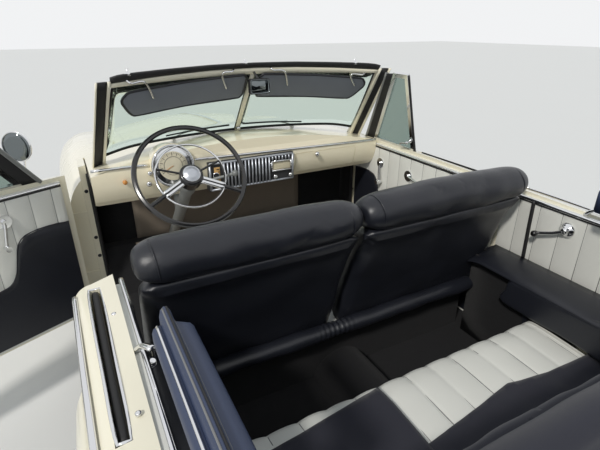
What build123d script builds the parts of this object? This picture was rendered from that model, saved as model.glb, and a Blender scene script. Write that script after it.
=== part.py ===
from build123d import *
from collections import namedtuple
import math
import os

import numpy as np

os.makedirs("parts", exist_ok=True)

# A two-door open car with four seats, in millimetres. X runs forward, Y to the left and Z up.
# The origin is on the ground, on the middle plane, halfway between the axles.

# Driving dimensions
wheelbase = 2921
front_track = 1448
rear_track = 1492
tyre_radius = 350
tyre_width = 170
tyre_sides = 60  # so many flats that a tyre looks round
rim_radius = 195
disc_inset = 42  # from the outer edge of the rim to the back of the wheel disc
sheet = 40  # depth of a body panel with its inner frame
seat_gap = 0.3  # between pieces that rest on each other
panel_gap = 6  # round a door, the hood and the trunk lid
door_open = 65  # how far the left door stands open, in degrees

front_axle_x = wheelbase / 2
rear_axle_x = -wheelbase / 2
axle_z = tyre_radius

# Body openings
cowl_front_x = 800
door_front_x = 640
door_rear_x = -450
door_inner_y = 757
door_bottom_z = 331
door_rear_rake = 13  # the rear edge comes forward this much from the skin to the inner face
trim_thickness = 12
trim_top_z = 1005
sill_top_z = door_bottom_z - panel_gap
hinge_x = door_front_x + panel_gap
hinge_y = 882
hinge_radius = 5
hinge_length = 40  # of each half
hinge_heights = (480, 800)  # where the two halves of each hinge meet
wheelhouse_y = 625
wheelhouse_z = 745
well_radius = tyre_radius + 35
well_front_x = -1300
well_rear_x = -1690
well_half = 600
lid_front_x = -1790
lid_half = 520
lid_bottom_z = 646
tail_x = -2474
slot_inner_y = 792
slot_outer_y = 820

# Floor heights
floor_z = 330
floor_sheet = 20
seat_pan_z = 430
trunk_floor_z = 560
firewall_x = 780
heelboard_x = -900
bulkhead_x = -1240

gearbox_radius = 70

# Windshield: a curved slab that leans back from a line across the cowl
glass_base_x = 664
glass_base_z = 1123
glass_top_z = 1469
glass_foot_half = 676
glass_top_half = 630
glass_plan_radius = 1690
glass_lean = 40  # from the vertical, in degrees
glass_depth = 26
bar_half = 11  # of the bar between the panes
header_height = 42

# Hinges in the gaps of the hood and the trunk lid
lug_y = 120
lug_width = 30
hood_hinge = (cowl_front_x + panel_gap / 2, 1106.5)
lid_hinge_x = lid_front_x - panel_gap / 2

# Seats
seat_half = 700
seat_base_z = 510
seat_split_y = 50
rear_seat_half = 612

# Steering
wheel_hub = (187, 378, 1041)
column_tilt = 42  # of the column above the horizontal, in degrees
steering_radius = 228.5
rim_section = 10.5

FRONT = Plane(origin=(0, 0, 0), x_dir=(0, 1, 0), z_dir=(1, 0, 0))
SIDE = Plane(origin=(0, 0, 0), x_dir=(1, 0, 0), z_dir=(0, -1, 0))


def outline(start, *steps):
    """Closed face: a step is a point for a straight side, or two points for an arc through the first."""
    edges, here = [], start
    for step in steps + (start,):
        arc = isinstance(step[0], tuple)
        there = step[1] if arc else step
        if there != here:
            edges.append(ThreePointArc(here, step[0], there) if arc else Line(here, there))
        here = there
    return make_face(edges)


def across(face, y0, y1):
    """A side view (X, Z) drawn out from y0 to y1."""
    return extrude(SIDE.offset(-y0) * face, amount=y0 - y1)


def along(face, x0, x1):
    """A front view (Y, Z) drawn out from x0 to x1."""
    return extrude(FRONT.offset(x0) * face, amount=x1 - x0)


def upward(face, z0, z1):
    """A plan (X, Y) drawn out from z0 to z1."""
    return extrude(Plane.XY.offset(z0) * face, amount=z1 - z0)


def block(x0, x1, y0, y1, z0, z1):
    size = (abs(x1 - x0), abs(y1 - y0), abs(z1 - z0))
    return Pos((x0 + x1) / 2, (y0 + y1) / 2, (z0 + z1) / 2) * Box(*size)


def rod(start, end, radius):
    line = Vector(end) - Vector(start)
    return extrude(Plane(origin=start, z_dir=line) * Circle(radius), amount=line.length)


def ball(centre, radius):
    return Pos(*centre) * Sphere(radius)


def other_side(shape):
    return mirror(shape, Plane.XZ)


def save(name, *shapes):
    """One node, with its solids in one STEP file."""
    solids = [solid for shape in shapes for solid in shape.solids()]
    export_step(Compound(solids), f"parts/{name}.step")


def eased(rows, steps):
    """Rows of numbers filled in between the given ones, on a curve that doesn't overshoot them."""
    table = np.array(rows, float)
    x, values = table[:, 0], table[:, 1:]
    slopes = np.diff(values, axis=0) / np.diff(x)[:, None]
    same_way = slopes[:-1] * slopes[1:] > 0
    middle = np.where(same_way, 2 * slopes[:-1] * slopes[1:] / (slopes[:-1] + slopes[1:] + 1e-9), 0)
    tangents = np.vstack([slopes[:1], middle, slopes[-1:]])
    filled = [tuple(table[0])]
    for i in range(len(x) - 1):
        width = x[i + 1] - x[i]
        for step in range(1, steps + 1):
            t = step / steps
            value = (
                values[i] * (2 * t**3 - 3 * t**2 + 1)
                + tangents[i] * width * (t**3 - 2 * t**2 + t)
                + values[i + 1] * (3 * t**2 - 2 * t**3)
                + tangents[i + 1] * width * (t**3 - t**2)
            )
            filled.append((x[i] + t * width, *value))
    return filled


# Body shell from the cowl to the tail: half-widths at the sill, side and belt, and their heights
Station = namedtuple("Station", "x sill side belt z_sill z_belt z_crown")
hull_stations = [
    Station(cowl_front_x, 815, 866, 848, 270, 985, 1110),
    Station(0, 820, 872, 855, 270, 985, 1110),
    Station(-1100, 815, 868, 845, 270, 975, 1070),
    Station(-1700, 785, 835, 790, 270, 940, 1010),
    Station(-2200, 710, 750, 660, 290, 850, 905),
    Station(-2480, 620, 650, 520, 330, 700, 760),
    Station(-2560, 560, 590, 450, 380, 610, 650),
    Station(-2600, 500, 520, 380, 420, 560, 590),
]
side_height = 0.45  # where the side is widest, between sill and belt
shoulder_run = 40
shoulder_rise = 25


def hull(grow=0, open_below=0):
    """The body's outer form, larger all round by grow, and reaching lower by open_below."""
    faces = []
    for row in eased(hull_stations, 2):
        s = Station(*row)
        sill, side, belt = s.sill + grow, s.side + grow, s.belt + grow
        low, high, crown = s.z_sill - grow - open_below, s.z_belt + grow, s.z_crown + grow
        widest = s.z_sill - grow + side_height * (high - s.z_sill + grow)
        edge, top = belt - shoulder_run, high + shoulder_rise
        bend = (belt - 0.3 * shoulder_run, high + 0.6 * shoulder_rise)
        faces.append(
            FRONT.offset(s.x)
            * outline(
                (-sill, low),
                (sill, low),
                ((side, widest), (belt, high)),
                (bend, (edge, top)),
                ((0, crown), (-edge, top)),
                ((-bend[0], bend[1]), (-belt, high)),
                ((-side, widest), (-sill, low)),
            )
        )
    return loft(faces, ruled=True)


def top_z(x, y):
    """Height of the body's crowned top at a place in the plan."""
    rows = sorted(eased(hull_stations, 2))
    belt, z_belt, crown = (np.interp(x, [r[0] for r in rows], [r[i] for r in rows]) for i in (3, 5, 6))
    half, rise = belt - shoulder_run, crown - z_belt - shoulder_rise
    radius = (half**2 + rise**2) / (2 * rise)
    return crown - radius + math.sqrt(radius**2 - y**2)


def lug(x, z, y, toward):
    """Half of a small hinge in a panel gap: a barrel of full width and a tab to its panel, at x + toward."""
    radius = panel_gap / 2 - 0.5
    tab = block(x, x + toward, y, y + lug_width, z - radius, z + radius)
    return rod((x, y, z), (x, y + lug_width, z), radius) + tab


body_form = hull()
body_around = hull(seat_gap)
body_inside = hull(-sheet, 200) & block(tail_x - 86, cowl_front_x + 1, -900, 900, 0, 1300)
shell = body_form - body_inside


# Front end: the hood and nose between the fenders, and the fenders
Nose = namedtuple("Nose", "x half z_edge z_crown")
nose_stations = [
    Nose(cowl_front_x + panel_gap, 560, 985, 1106),
    Nose(1300, 560, 962, 1076),
    Nose(1800, 547, 912, 1015),
    Nose(2150, 508, 832, 920),
    Nose(2230, 465, 770, 850),
]
nose_bottom_z = 400
nose_panel_x = 2116
nose_rear_x = 2060
hood_sheet = 22


def nose(grow=0, raised=0):
    faces = []
    for row in eased(nose_stations, 2):
        s = Nose(*row)
        half, edge_z, crown = s.half + grow, s.z_edge + grow + raised, s.z_crown + grow + raised
        low = nose_bottom_z - grow
        run, rise = 60, 38
        faces.append(
            FRONT.offset(s.x)
            * outline(
                (-half, low),
                (half, low),
                (half, edge_z),
                ((half - 0.3 * run, edge_z + 0.65 * rise), (half - run, edge_z + rise)),
                ((0, crown), (-half + run, edge_z + rise)),
                ((-half + 0.3 * run, edge_z + 0.65 * rise), (-half, edge_z)),
            )
        )
    return loft(faces, ruled=True)


nose_form = nose()
nose_inside = nose(-hood_sheet) & block(0, 2195, -900, 900, 0, 1300)
nose_around = nose(panel_gap, 300)

Fender = namedtuple("Fender", "x inner outer z_low z_top")
front_fender_stations = [
    Fender(door_front_x + 2 * panel_gap, 480, 868, 272, 1005),
    Fender(1000, 480, 886, 275, 1000),
    Fender(1460, 480, 900, 290, 975),
    Fender(1900, 480, 885, 330, 925),
    Fender(2150, 500, 835, 380, 870),
    Fender(2235, 540, 770, 440, 800),
]
rear_fender_stations = [
    Fender(door_rear_x - panel_gap - 10, 500, 884, 272, 905),
    Fender(-620, 500, 930, 272, 930),
    Fender(-1000, 500, 943, 272, 935),
    Fender(-1600, 500, 940, 275, 925),
    Fender(-2100, 500, 890, 300, 870),
    Fender(-2420, 500, 790, 340, 770),
    Fender(-2520, 500, 690, 400, 690),
]


def fender_form(stations):
    """A long pod whose outer side rolls over into its top."""
    faces = []
    for row in eased(stations, 2):
        s = Fender(*row)
        width, height = s.outer - s.inner, s.z_top - s.z_low
        shoulder_y, shoulder_z = s.outer - 0.06 * width, s.z_low + 0.72 * height
        faces.append(
            FRONT.offset(s.x)
            * outline(
                (s.inner, s.z_low),
                (s.outer - 25, s.z_low),
                ((s.outer, s.z_low + 0.35 * height), (shoulder_y, shoulder_z)),
                (
                    (s.outer - 0.22 * width, s.z_low + 0.92 * height),
                    (s.outer - 0.5 * width, s.z_top),
                ),
                (s.inner, s.z_top),
            )
        )
    return loft(faces, ruled=True)


# Cowl: the top in front of the windshield, the firewall and the hinge pillars
def windshield_line(back):
    """Plan of everything in front of the windshield's base line, moved back by a distance."""
    half = 1000
    x = glass_base_x - back
    sag = half**2 / (2 * glass_plan_radius)
    return outline((x - sag, -half), ((x, 0), (x - sag, half)), (3000, half), (3000, -half))


cowl_back = 45
cowl_side_y = 775
cowl_wall = 30
cabin_half = door_inner_y - trim_thickness - panel_gap
cowl_top_depth = 50


def make_cowl():
    top = body_form - hull(-cowl_top_depth)
    top = top & upward(windshield_line(cowl_back), 900, 1300)
    top = top & block(0, cowl_front_x, -cabin_half, cabin_half, 900, 1300)
    inner = cowl_side_y - cowl_wall
    box = block(hinge_x, cowl_front_x, -cowl_side_y, cowl_side_y, floor_z + floor_sheet, 1300)
    box = box - block(0, firewall_x, -inner, inner, 0, 1300)
    box = box - rod((0, 0, axle_z), (cowl_front_x + 1, 0, axle_z), gearbox_radius + panel_gap)
    return (box & body_form) + top


cowl = make_cowl()
for y in (lug_y, -lug_y - lug_width):
    cowl += lug(*hood_hinge, y, -panel_gap / 2 - 1)
save("cowl", cowl)


# Doors, built closed on the left side
def door_plan(outer=1000):
    rear_in = door_rear_x + door_rear_rake
    return outline(
        (door_rear_x - (outer - 872) * door_rear_rake / (872 - door_inner_y), outer),
        (door_front_x, outer),
        (door_front_x, door_inner_y),
        (rear_in, door_inner_y),
    )


vent_rear_x = 140
slot_rear_x = -415
slot_depth_z = 520
door_skin = body_form & upward(door_plan(), door_bottom_z, 1200)
door_skin -= block(slot_rear_x, vent_rear_x + 10, slot_inner_y, slot_outer_y, slot_depth_z, 1200)
for z in hinge_heights:
    knuckle = rod((hinge_x, hinge_y, z + seat_gap), (hinge_x, hinge_y, z + hinge_length), hinge_radius)
    leaf = block(hinge_x - 16, hinge_x, hinge_y - 26, hinge_y, z + seat_gap, z + hinge_length)
    door_skin += knuckle + leaf
trim_face_y = door_inner_y - trim_thickness
trim_x = (door_rear_x + 35, door_front_x - 30)
door_trim = block(*trim_x, trim_face_y, door_inner_y, door_bottom_z + 14, trim_top_z)
door_glass = block(
    slot_rear_x + 4, vent_rear_x + 4, slot_inner_y + 11, slot_outer_y - 11, slot_depth_z, 1000
)

# Vent window: a four-sided pane that leans in with the windshield post
vent_base = (775, 1016)
vent_top = (632, 1408)
vent_lean = math.atan2(vent_base[0] - vent_top[0], vent_top[1] - vent_base[1])
vent_length = math.hypot(vent_base[0] - vent_top[0], vent_top[1] - vent_base[1])
vent_frame = 20
vent_plane = Plane(
    origin=(0, vent_base[0], vent_base[1]),
    x_dir=(1, 0, 0),
    z_dir=(0, -math.cos(vent_lean), -math.sin(vent_lean)),
)


def make_vent():
    sheet_face = outline((480, 0), (178, vent_length), (80, vent_length), (vent_rear_x, 0))
    pane = offset(sheet_face, amount=-vent_frame, kind=Kind.INTERSECTION)
    frame = extrude(vent_plane.offset(-8) * sheet_face, amount=16)
    frame = frame - extrude(vent_plane.offset(-9) * pane, amount=18)
    glass = extrude(vent_plane.offset(-2.5) * pane, amount=5)
    return frame - body_around, glass - body_around


vent_frame_left, vent_glass_left = make_vent()

# Round mirror on a bent arm at the front of the left door's top
mirror_foot = (520, 838, 1000)
mirror_bend = (500, 885, 1075)
mirror_head = (455, 905, 1130)
mirror_face = (437, 903, 1134)
mirror_radius = 62
mirror_arm = 5


def make_mirror():
    x, y, z = mirror_foot
    foot = rod((x, y, z - 10), (x, y, z + 16), 14)
    arm = rod((x, y, z + 10), mirror_bend, mirror_arm) + ball(mirror_bend, mirror_arm)
    arm += rod(mirror_bend, mirror_head, mirror_arm)
    return (foot + arm + rod(mirror_head, mirror_face, mirror_radius)) - body_around


# Window crank and inner handle: where each is, and how far its lever reaches back and down
control_places = [(365, 905, -21, -102), (130, 895, -95, -12)]


def door_controls(inner_y):
    """A round plate with its hub, a lever and a knob for each place."""
    pieces = []
    for x, z, back, down in control_places:
        plate = rod((x, inner_y - 9, z), (x, inner_y, z), 28)
        hub = rod((x, inner_y - 20, z), (x, inner_y - 8, z), 10)
        lever = rod((x, inner_y - 14, z), (x + back, inner_y - 22, z + down), 6)
        knob = rod((x + back, inner_y - 16, z + down), (x + back, inner_y - 45, z + down), 11)
        pieces.append(plate + hub + lever + knob)
    return pieces


door_pieces = {
    "door": [door_skin],
    "door_trim": [door_trim],
    "door_glass": [door_glass, vent_glass_left],
    "door_fittings": [vent_frame_left] + door_controls(trim_face_y),
}
hinge_axis = Axis((hinge_x, hinge_y, 0), (0, 0, 1))
for name, shapes in door_pieces.items():
    save(name + "_left", *[shape.rotate(hinge_axis, -door_open) for shape in shapes])
    save(name + "_right", *[other_side(shape) for shape in shapes])
save("door_mirror", make_mirror().rotate(hinge_axis, -door_open))


# Root halves of the door hinges, on leaves against the hinge pillars
hinge_halves = []
for z in hinge_heights:
    knuckle = rod((hinge_x, hinge_y, z - hinge_length), (hinge_x, hinge_y, z), hinge_radius)
    leaf_y = (cowl_side_y + seat_gap, hinge_y)
    leaf = block(hinge_x, hinge_x + panel_gap - seat_gap, *leaf_y, z - hinge_length, z)
    hinge_halves.append(knuckle + leaf)
save("door_hinges", *hinge_halves, *[other_side(half) for half in hinge_halves])


# Windshield frame with a middle bar, and its two panes
def glass_slab(depth, inset=0):
    lean = math.radians(glass_lean)
    rise = glass_top_z - glass_base_z
    down = 150
    half = 800
    sag = half**2 / (2 * glass_plan_radius)
    x = glass_base_x + down * math.tan(lean) - inset
    face = outline(
        (x - sag, -half),
        ((x, 0), (x - sag, half)),
        (x - sag - depth, half),
        ((x - depth, 0), (x - sag - depth, -half)),
    )
    length = (rise + down) / math.cos(lean)
    return extrude(
        Plane.XY.offset(glass_base_z - down) * face, amount=length, dir=(-math.sin(lean), 0, math.cos(lean))
    )


def glass_outline(low):
    """Front view of the frame, down to a height."""
    foot, top, corner = glass_foot_half, glass_top_half, glass_top_z - 46
    return outline(
        (-foot, low),
        (foot, low),
        (top, corner - 30),
        ((top - 8, corner - 8), (top - 30, corner)),
        ((0, glass_top_z), (-top + 30, corner)),
        ((-top + 8, corner - 8), (-top, corner - 30)),
    )


def make_windshield():
    sill = 30
    base = body_around
    frame = glass_slab(glass_depth) & along(glass_outline(980), 0, 1000)
    pane_foot = glass_top_half - header_height
    pane_top = pane_foot - 40
    corner_z = glass_top_z - 89
    pane_face = outline(
        (-pane_foot, glass_base_z - 220),
        (pane_foot, glass_base_z - 220),
        (pane_top, corner_z),
        ((0, glass_top_z - header_height), (-pane_top, corner_z)),
    )
    opening = along(pane_face, 0, 1000) - hull(sill)
    bar = block(0, 1000, -bar_half, bar_half, 900, glass_top_z + 100)
    frame = (frame - (opening - bar)) - base
    panes = (glass_slab(6, 10) & opening) - bar
    return frame, panes


windshield_frame, windshield_glass = make_windshield()
save("windshield_frame", windshield_frame)
save("windshield_glass", windshield_glass)


# Floor, tunnel, sills and the raised floors behind, as panels that meet with a small gap
tunnel_half = 118
toe_foot_x, toe_bend_x, toe_z = 560, 700, 560
riser_x = (-395, 60)
riser_half = 640
sill_inner_y = 700
sill_z = 270
trunk_side_x = -1850  # behind it the trunk floor is as wide as the body


def arch(half):
    """Front view of the tunnel's round top over the floor."""
    return outline((-half, floor_z), ((0, floor_z + half), (half, floor_z)))


tunnel_inside = along(arch(tunnel_half - floor_sheet), heelboard_x - floor_sheet - 1, firewall_x + 1)


def make_front_floor():
    sheet_top = floor_z + floor_sheet
    pan = block(heelboard_x + seat_gap, firewall_x, -cabin_half, cabin_half, floor_z, sheet_top)
    toe_board = outline(
        (toe_foot_x, sheet_top),
        (toe_bend_x, toe_z),
        (firewall_x, toe_z),
        (firewall_x, toe_z - 30),
        (toe_bend_x + 15, toe_z - 30),
        (toe_foot_x + 25, sheet_top - 10),
    )
    pan += across(toe_board, -cabin_half, cabin_half)
    pan += along(arch(tunnel_half), heelboard_x + seat_gap, firewall_x)
    pan -= tunnel_inside
    riser = block(*riser_x, -riser_half, riser_half, sheet_top, seat_base_z)
    return pan + (riser - along(arch(tunnel_half - 1), *riser_x))


def make_sill():
    outer = block(door_rear_x + door_rear_rake + 1, hinge_x, door_inner_y - 1, 900, sill_z, sill_top_z)
    inner = block(heelboard_x, hinge_x, sill_inner_y, door_inner_y - seat_gap, sill_z, floor_z - seat_gap)
    return (outer & body_form) + inner


def make_rear_floor():
    half = wheelhouse_y - seat_gap
    top = seat_pan_z + floor_sheet
    pan = block(bulkhead_x, heelboard_x, -half, half, seat_pan_z, top)
    pan += block(heelboard_x - floor_sheet, heelboard_x, -half, half, floor_z, top)
    pan += block(bulkhead_x, bulkhead_x + floor_sheet, -half, half, seat_pan_z, trunk_floor_z - seat_gap)
    return pan - tunnel_inside


def make_trunk_floor():
    half = wheelhouse_y - seat_gap
    panel = block(tail_x + 4, bulkhead_x + floor_sheet, -900, 900, trunk_floor_z, trunk_floor_z + floor_sheet)
    panel = panel & hull(-sheet - seat_gap, 200)
    return panel - block(trunk_side_x, 0, half, 900, 0, 1000) - block(trunk_side_x, 0, -900, -half, 0, 1000)


front_floor = make_front_floor()
sill = make_sill()
save("floor", front_floor, sill, other_side(sill), make_rear_floor(), make_trunk_floor())


# Quarter panels, rear fenders, deck and tail
def wheel_well(axle_x, radius, y0, y1):
    return rod((axle_x, y0, axle_z), (axle_x, y1, axle_z), radius)


quarter_slot_rear_x = -980


def make_quarter():
    rear_wall_x = -1850
    front_in = door_rear_x - panel_gap + door_rear_rake
    plan = outline(
        (door_rear_x - panel_gap - 15, 1000),
        (door_rear_x - panel_gap, 872),
        (front_in, door_inner_y),
        (well_front_x, door_inner_y),
        (well_rear_x, well_half),
        (well_rear_x, lid_half + panel_gap),
        (rear_wall_x, lid_half + panel_gap),
        (rear_wall_x, 1000),
    )
    upper = body_form & upward(plan, wheelhouse_z, 1300)
    lower = body_form & block(rear_wall_x, front_in, wheelhouse_y, 1000, 200, wheelhouse_z)
    lower -= upward(
        outline(
            (door_rear_x - panel_gap - 15, 1000),
            (door_rear_x - panel_gap, 872),
            (front_in, door_inner_y),
            (front_in, 500),
            (0, 500),
            (0, 1000),
        ),
        0,
        1300,
    )
    lower -= block(front_in - 480, front_in + 1, wheelhouse_y - 1, door_inner_y, 0, wheelhouse_z + 1)
    aft = shell & block(tail_x, rear_wall_x, lid_half + panel_gap, 1000, 200, 1300)
    panel = upper + lower + aft
    panel -= wheel_well(rear_axle_x, well_radius, wheelhouse_y - 1, 1000)
    panel -= block(quarter_slot_rear_x, door_rear_x - 35, slot_inner_y, slot_outer_y, 640, 1300)
    panel -= block(-2000, 0, 0, lid_half + panel_gap, 0, 1300)
    return panel


quarter_left = make_quarter()
save("quarter_panels", quarter_left, other_side(quarter_left))


def make_rear_fender():
    form = fender_form(rear_fender_stations) - body_around
    form -= block(-3000, 0, 0, lid_half + panel_gap, 0, 1300)
    form = form - wheel_well(rear_axle_x, well_radius, 0, 885)
    form = form - wheel_well(rear_axle_x, well_radius - 60, 0, 1000)
    return max(form.solids(), key=lambda solid: solid.volume)


rear_fender = make_rear_fender()
save("rear_fenders", rear_fender, other_side(rear_fender))

lid_hole = lid_half + panel_gap
deck = shell & block(lid_front_x, well_rear_x, -lid_hole, lid_hole, 700, 1300)
lid_hinge_z = round(top_z(lid_hinge_x, 0) + 1, 1)
for y in (lug_y, -lug_y - lug_width):
    deck += lug(lid_hinge_x, lid_hinge_z, y, panel_gap / 2 + 3)
save("deck_panel", deck)
lid_region = block(-3000, lid_front_x, -lid_hole, lid_hole, lid_bottom_z - panel_gap, 1300)
lid_itself = block(-3000, lid_front_x - panel_gap, -lid_half, lid_half, lid_bottom_z, 1300)
trunk_lid = shell & lid_itself
for y in (lug_y + lug_width + seat_gap, -lug_y - 2 * lug_width - seat_gap):
    trunk_lid += lug(lid_hinge_x, lid_hinge_z, y, -panel_gap / 2 - 3)
save("trunk_lid", trunk_lid)
rail_slots = block(-3000, tail_x, 380 - seat_gap, 450 + seat_gap, 430 - seat_gap, 520 + seat_gap)
tail_around = hull(seat_gap) & block(-3000, tail_x, -900, 900, 0, 1300)
tail_panel = (shell & block(-3000, tail_x - seat_gap, -900, 900, 0, 1300)) - lid_region
save("tail_panel", tail_panel - rail_slots - other_side(rail_slots))


# Front fenders, hood and nose
lamp_back_x, lamp_radius = 2070, 94
lamp_place = (655, 770)


def make_front_fender():
    form = fender_form(front_fender_stations)
    form -= block(0, cowl_front_x + seat_gap, 0, cowl_side_y + seat_gap, 0, 1300)
    form -= body_around & block(0, cowl_front_x, 0, cowl_side_y + seat_gap, 0, 1300)
    form -= nose_around
    form -= block(0, 3000, 0, 560 + panel_gap, 0, nose_bottom_z + 400)
    form -= wheel_well(front_axle_x, tyre_radius + 45, 0, 1000)
    form -= rod((lamp_back_x - 10, *lamp_place), (2400, *lamp_place), lamp_radius + seat_gap)
    return max(form.solids(), key=lambda solid: solid.volume)


front_fender = make_front_fender()
save("front_fenders", front_fender, other_side(front_fender))

hood_rear_z, hood_front_z = 920, 790
hood_x, hood_z = hood_hinge
hood_radius = math.hypot(nose_panel_x - hood_x, 180)


def hood_reach(radius):
    """Side view of what lies within a radius of the hood's hinge, above its side edges."""
    low = hood_front_z - hood_z
    top = hood_z + radius
    return outline(
        (0, hood_rear_z),
        (hood_x, hood_rear_z),
        (hood_x + math.sqrt(radius**2 - low**2), hood_front_z),
        ((hood_x + radius, hood_z), (hood_x, top)),
        (0, top),
    )


hood = (nose_form - nose_inside) & across(hood_reach(hood_radius), -900, 900)
for y in (lug_y + lug_width + seat_gap, -lug_y - 2 * lug_width - seat_gap):
    hood += lug(hood_x, hood_z, y, panel_gap / 2 + 3)
save("hood", hood)

# Grille: a rounded opening in the nose with a frame, three swelling bars and upright teeth
grille_half, grille_low, grille_high, grille_corner = 400, 455, 705, 70
grille_back_x = 2150
grille_bars = [(510, 18, 364), (580, 24, 391), (650, 18, 364)]  # height, half-depth and half-length
tooth_pitch = 100


def grille_face(margin):
    """Front view of the opening, smaller all round by margin."""
    half, low, high = grille_half - margin, grille_low + margin, grille_high - margin
    cut = grille_corner - 0.6 * margin
    return outline(
        (-half + cut, low),
        (half - cut, low),
        (half, low + cut),
        (half, high - cut),
        (half - cut, high),
        (-half + cut, high),
        (-half, high - cut),
        (-half, low + cut),
    )


nose_panel = (nose_form - nose_inside) & block(nose_rear_x, 2400, -900, 900, 0, 1300)
nose_panel -= rod((hood_x, -900, hood_z), (hood_x, 900, hood_z), hood_radius + panel_gap)
nose_panel -= along(grille_face(0), grille_back_x, 2400)
save("nose_panel", nose_panel)


def make_grille():
    face_x = nose_stations[-1].x
    frame = along(grille_face(seat_gap), grille_back_x + 50, face_x + 6)
    frame -= along(grille_face(18), grille_back_x, 2400)
    bar_x = face_x - 14
    for z, swell, half in grille_bars:
        section = outline(
            (bar_x - 12, z - swell / 2),
            (bar_x + 6, z - swell),
            (bar_x + 14, z - swell / 3),
            (bar_x + 14, z + swell / 3),
            (bar_x + 6, z + swell),
            (bar_x - 12, z + swell / 2),
        )
        frame += across(section, -half, half)
    for i in range(-3, 4):
        y = i * tooth_pitch
        frame += block(bar_x - 9, bar_x + 9, y - 9, y + 9, grille_bars[0][0], grille_bars[-1][0])
    return frame


save("grille", make_grille())


core_radius = 8  # of the rod through the middle of a lamp


def step_end(step):
    """Where a step of an outline ends."""
    return step[1] if isinstance(step[0], tuple) else step


def turned(centre, toward, *steps):
    """Round body about an axis along X: steps are (distance along it, radius), and its core is a rod."""
    sign = math.copysign(1, toward)
    inner = core_radius - 1
    face = outline((0, inner), *steps, (step_end(steps[-1])[0], inner))
    plane = Plane(origin=centre, x_dir=(sign, 0, 0), z_dir=(0, -sign, 0))
    length = max(step_end(step)[0] for step in steps)
    core = rod(centre, (centre[0] + sign * length, centre[1], centre[2]), core_radius)
    return revolve(plane * face, Axis(centre, (1, 0, 0)), 360) + core


bowl = [(0, 60), (40, lamp_radius), (145, lamp_radius), (158, 84), (156, 78)]
lens = ((171, 42), (176, core_radius - 1))
lamp = turned((lamp_back_x, *lamp_place), 1, *bowl, lens)
save("headlamps", lamp, other_side(lamp))


# Chassis: two rails that rise over the rear axle, and their crossmembers
rail_front_x, rail_rear_x = 2280, -2555
rail_inner_y, rail_outer_y = 380, 450
crossmembers = [  # middle in X, underside and top
    (2200, 300, nose_bottom_z),
    (1930, 300, 330),
    (front_axle_x, 220, 330),
    (600, 220, 262),
    (-300, 220, 262),
    (-1050, 220, 262),
    (-2300, 430, 520),
]


def make_frame():
    rail = outline(
        (rail_front_x, 300),
        (1150, 300),
        (1000, 220),
        (-1180, 220),
        (-1380, 450),
        (-1650, 450),
        (-1800, 430),
        (rail_rear_x, 430),
        (rail_rear_x, 520),
        (-1800, 520),
        (-1650, trunk_floor_z),
        (-1380, trunk_floor_z),
        (-1180, floor_z),
        (1000, floor_z),
        (1150, nose_bottom_z),
        (rail_front_x, nose_bottom_z),
    )
    frame = across(rail, rail_inner_y, rail_outer_y) + across(rail, -rail_outer_y, -rail_inner_y)
    for x, low, high in crossmembers:
        frame += block(x - 40, x + 40, -rail_inner_y - 10, rail_inner_y + 10, low, high)
    for side in (1, -1):
        tower_x = (front_axle_x - 60, front_axle_x + 60)
        frame += block(*tower_x, side * rail_inner_y, side * rail_outer_y, 220, 480)
        frame += block(-500, 500, side * (rail_outer_y - 10), side * (sill_inner_y + 2), 222, 262)
    return frame


save("chassis_frame", make_frame())


drum_inner = 22  # from the middle of the tread to the drum's inner face
drum_width = 40
drum_radius = 130
kingpin_y = front_track / 2 - drum_inner - 47
kingpin_radius = 20
coil_radius = 50
arm_heights = (236, 470)  # underside of the lower arm, top of the upper one
arm_depth = 20
arm_half = 30


def make_front_suspension():
    low, high = arm_heights
    pieces = []
    for side in (1, -1):
        ends = (side * (rail_outer_y + seat_gap), side * (kingpin_y + kingpin_radius))
        x0, x1 = front_axle_x - arm_half, front_axle_x + arm_half
        lower = block(x0, x1, *ends, low, low + arm_depth)
        upper = block(x0, x1, *ends, high - arm_depth, high)
        coil_y = side * (rail_outer_y + kingpin_y - kingpin_radius) / 2
        coil_ends = [(front_axle_x, coil_y, z) for z in (low + arm_depth, high - arm_depth)]
        coil = rod(*coil_ends, coil_radius)
        pieces.append(lower + upper + coil)
    return pieces


save("front_suspension", *make_front_suspension())


spring_front_x = heelboard_x - floor_sheet - 5
rim_half = tyre_width / 2 - 12
disc_y = rim_half - disc_inset  # from the middle of the tread out to the back of the wheel disc


def make_rear_axle():
    end = rear_track / 2 + disc_y - seat_gap
    axle = rod((rear_axle_x, -end, axle_z), (rear_axle_x, end, axle_z), 38)
    axle += rod((rear_axle_x - 70, 0, axle_z), (rear_axle_x + 70, 0, axle_z), 140)
    axle += rod((rear_axle_x, 0, axle_z), (650, 0, axle_z), 38)
    for side in (1, -1):
        leaf = outline(
            (spring_front_x, 345),
            ((rear_axle_x, 285), (-2020, 420)),
            (-2020, 440),
            ((rear_axle_x, 312), (spring_front_x, 368)),
        )
        axle += across(leaf, side * 455, side * 520)
    return axle


save("rear_axle", make_rear_axle())
engine = block(880, 1700, -170, 170, floor_z, 880)
gearbox = rod((650, 0, axle_z), (880, 0, axle_z), gearbox_radius)
radiator = block(1900, 1960, -300, 300, floor_z, 850)
save("engine", engine + gearbox, radiator)
save("fuel_tank", block(-2250, -1850, -170, 370, 400, trunk_floor_z - seat_gap))

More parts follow.
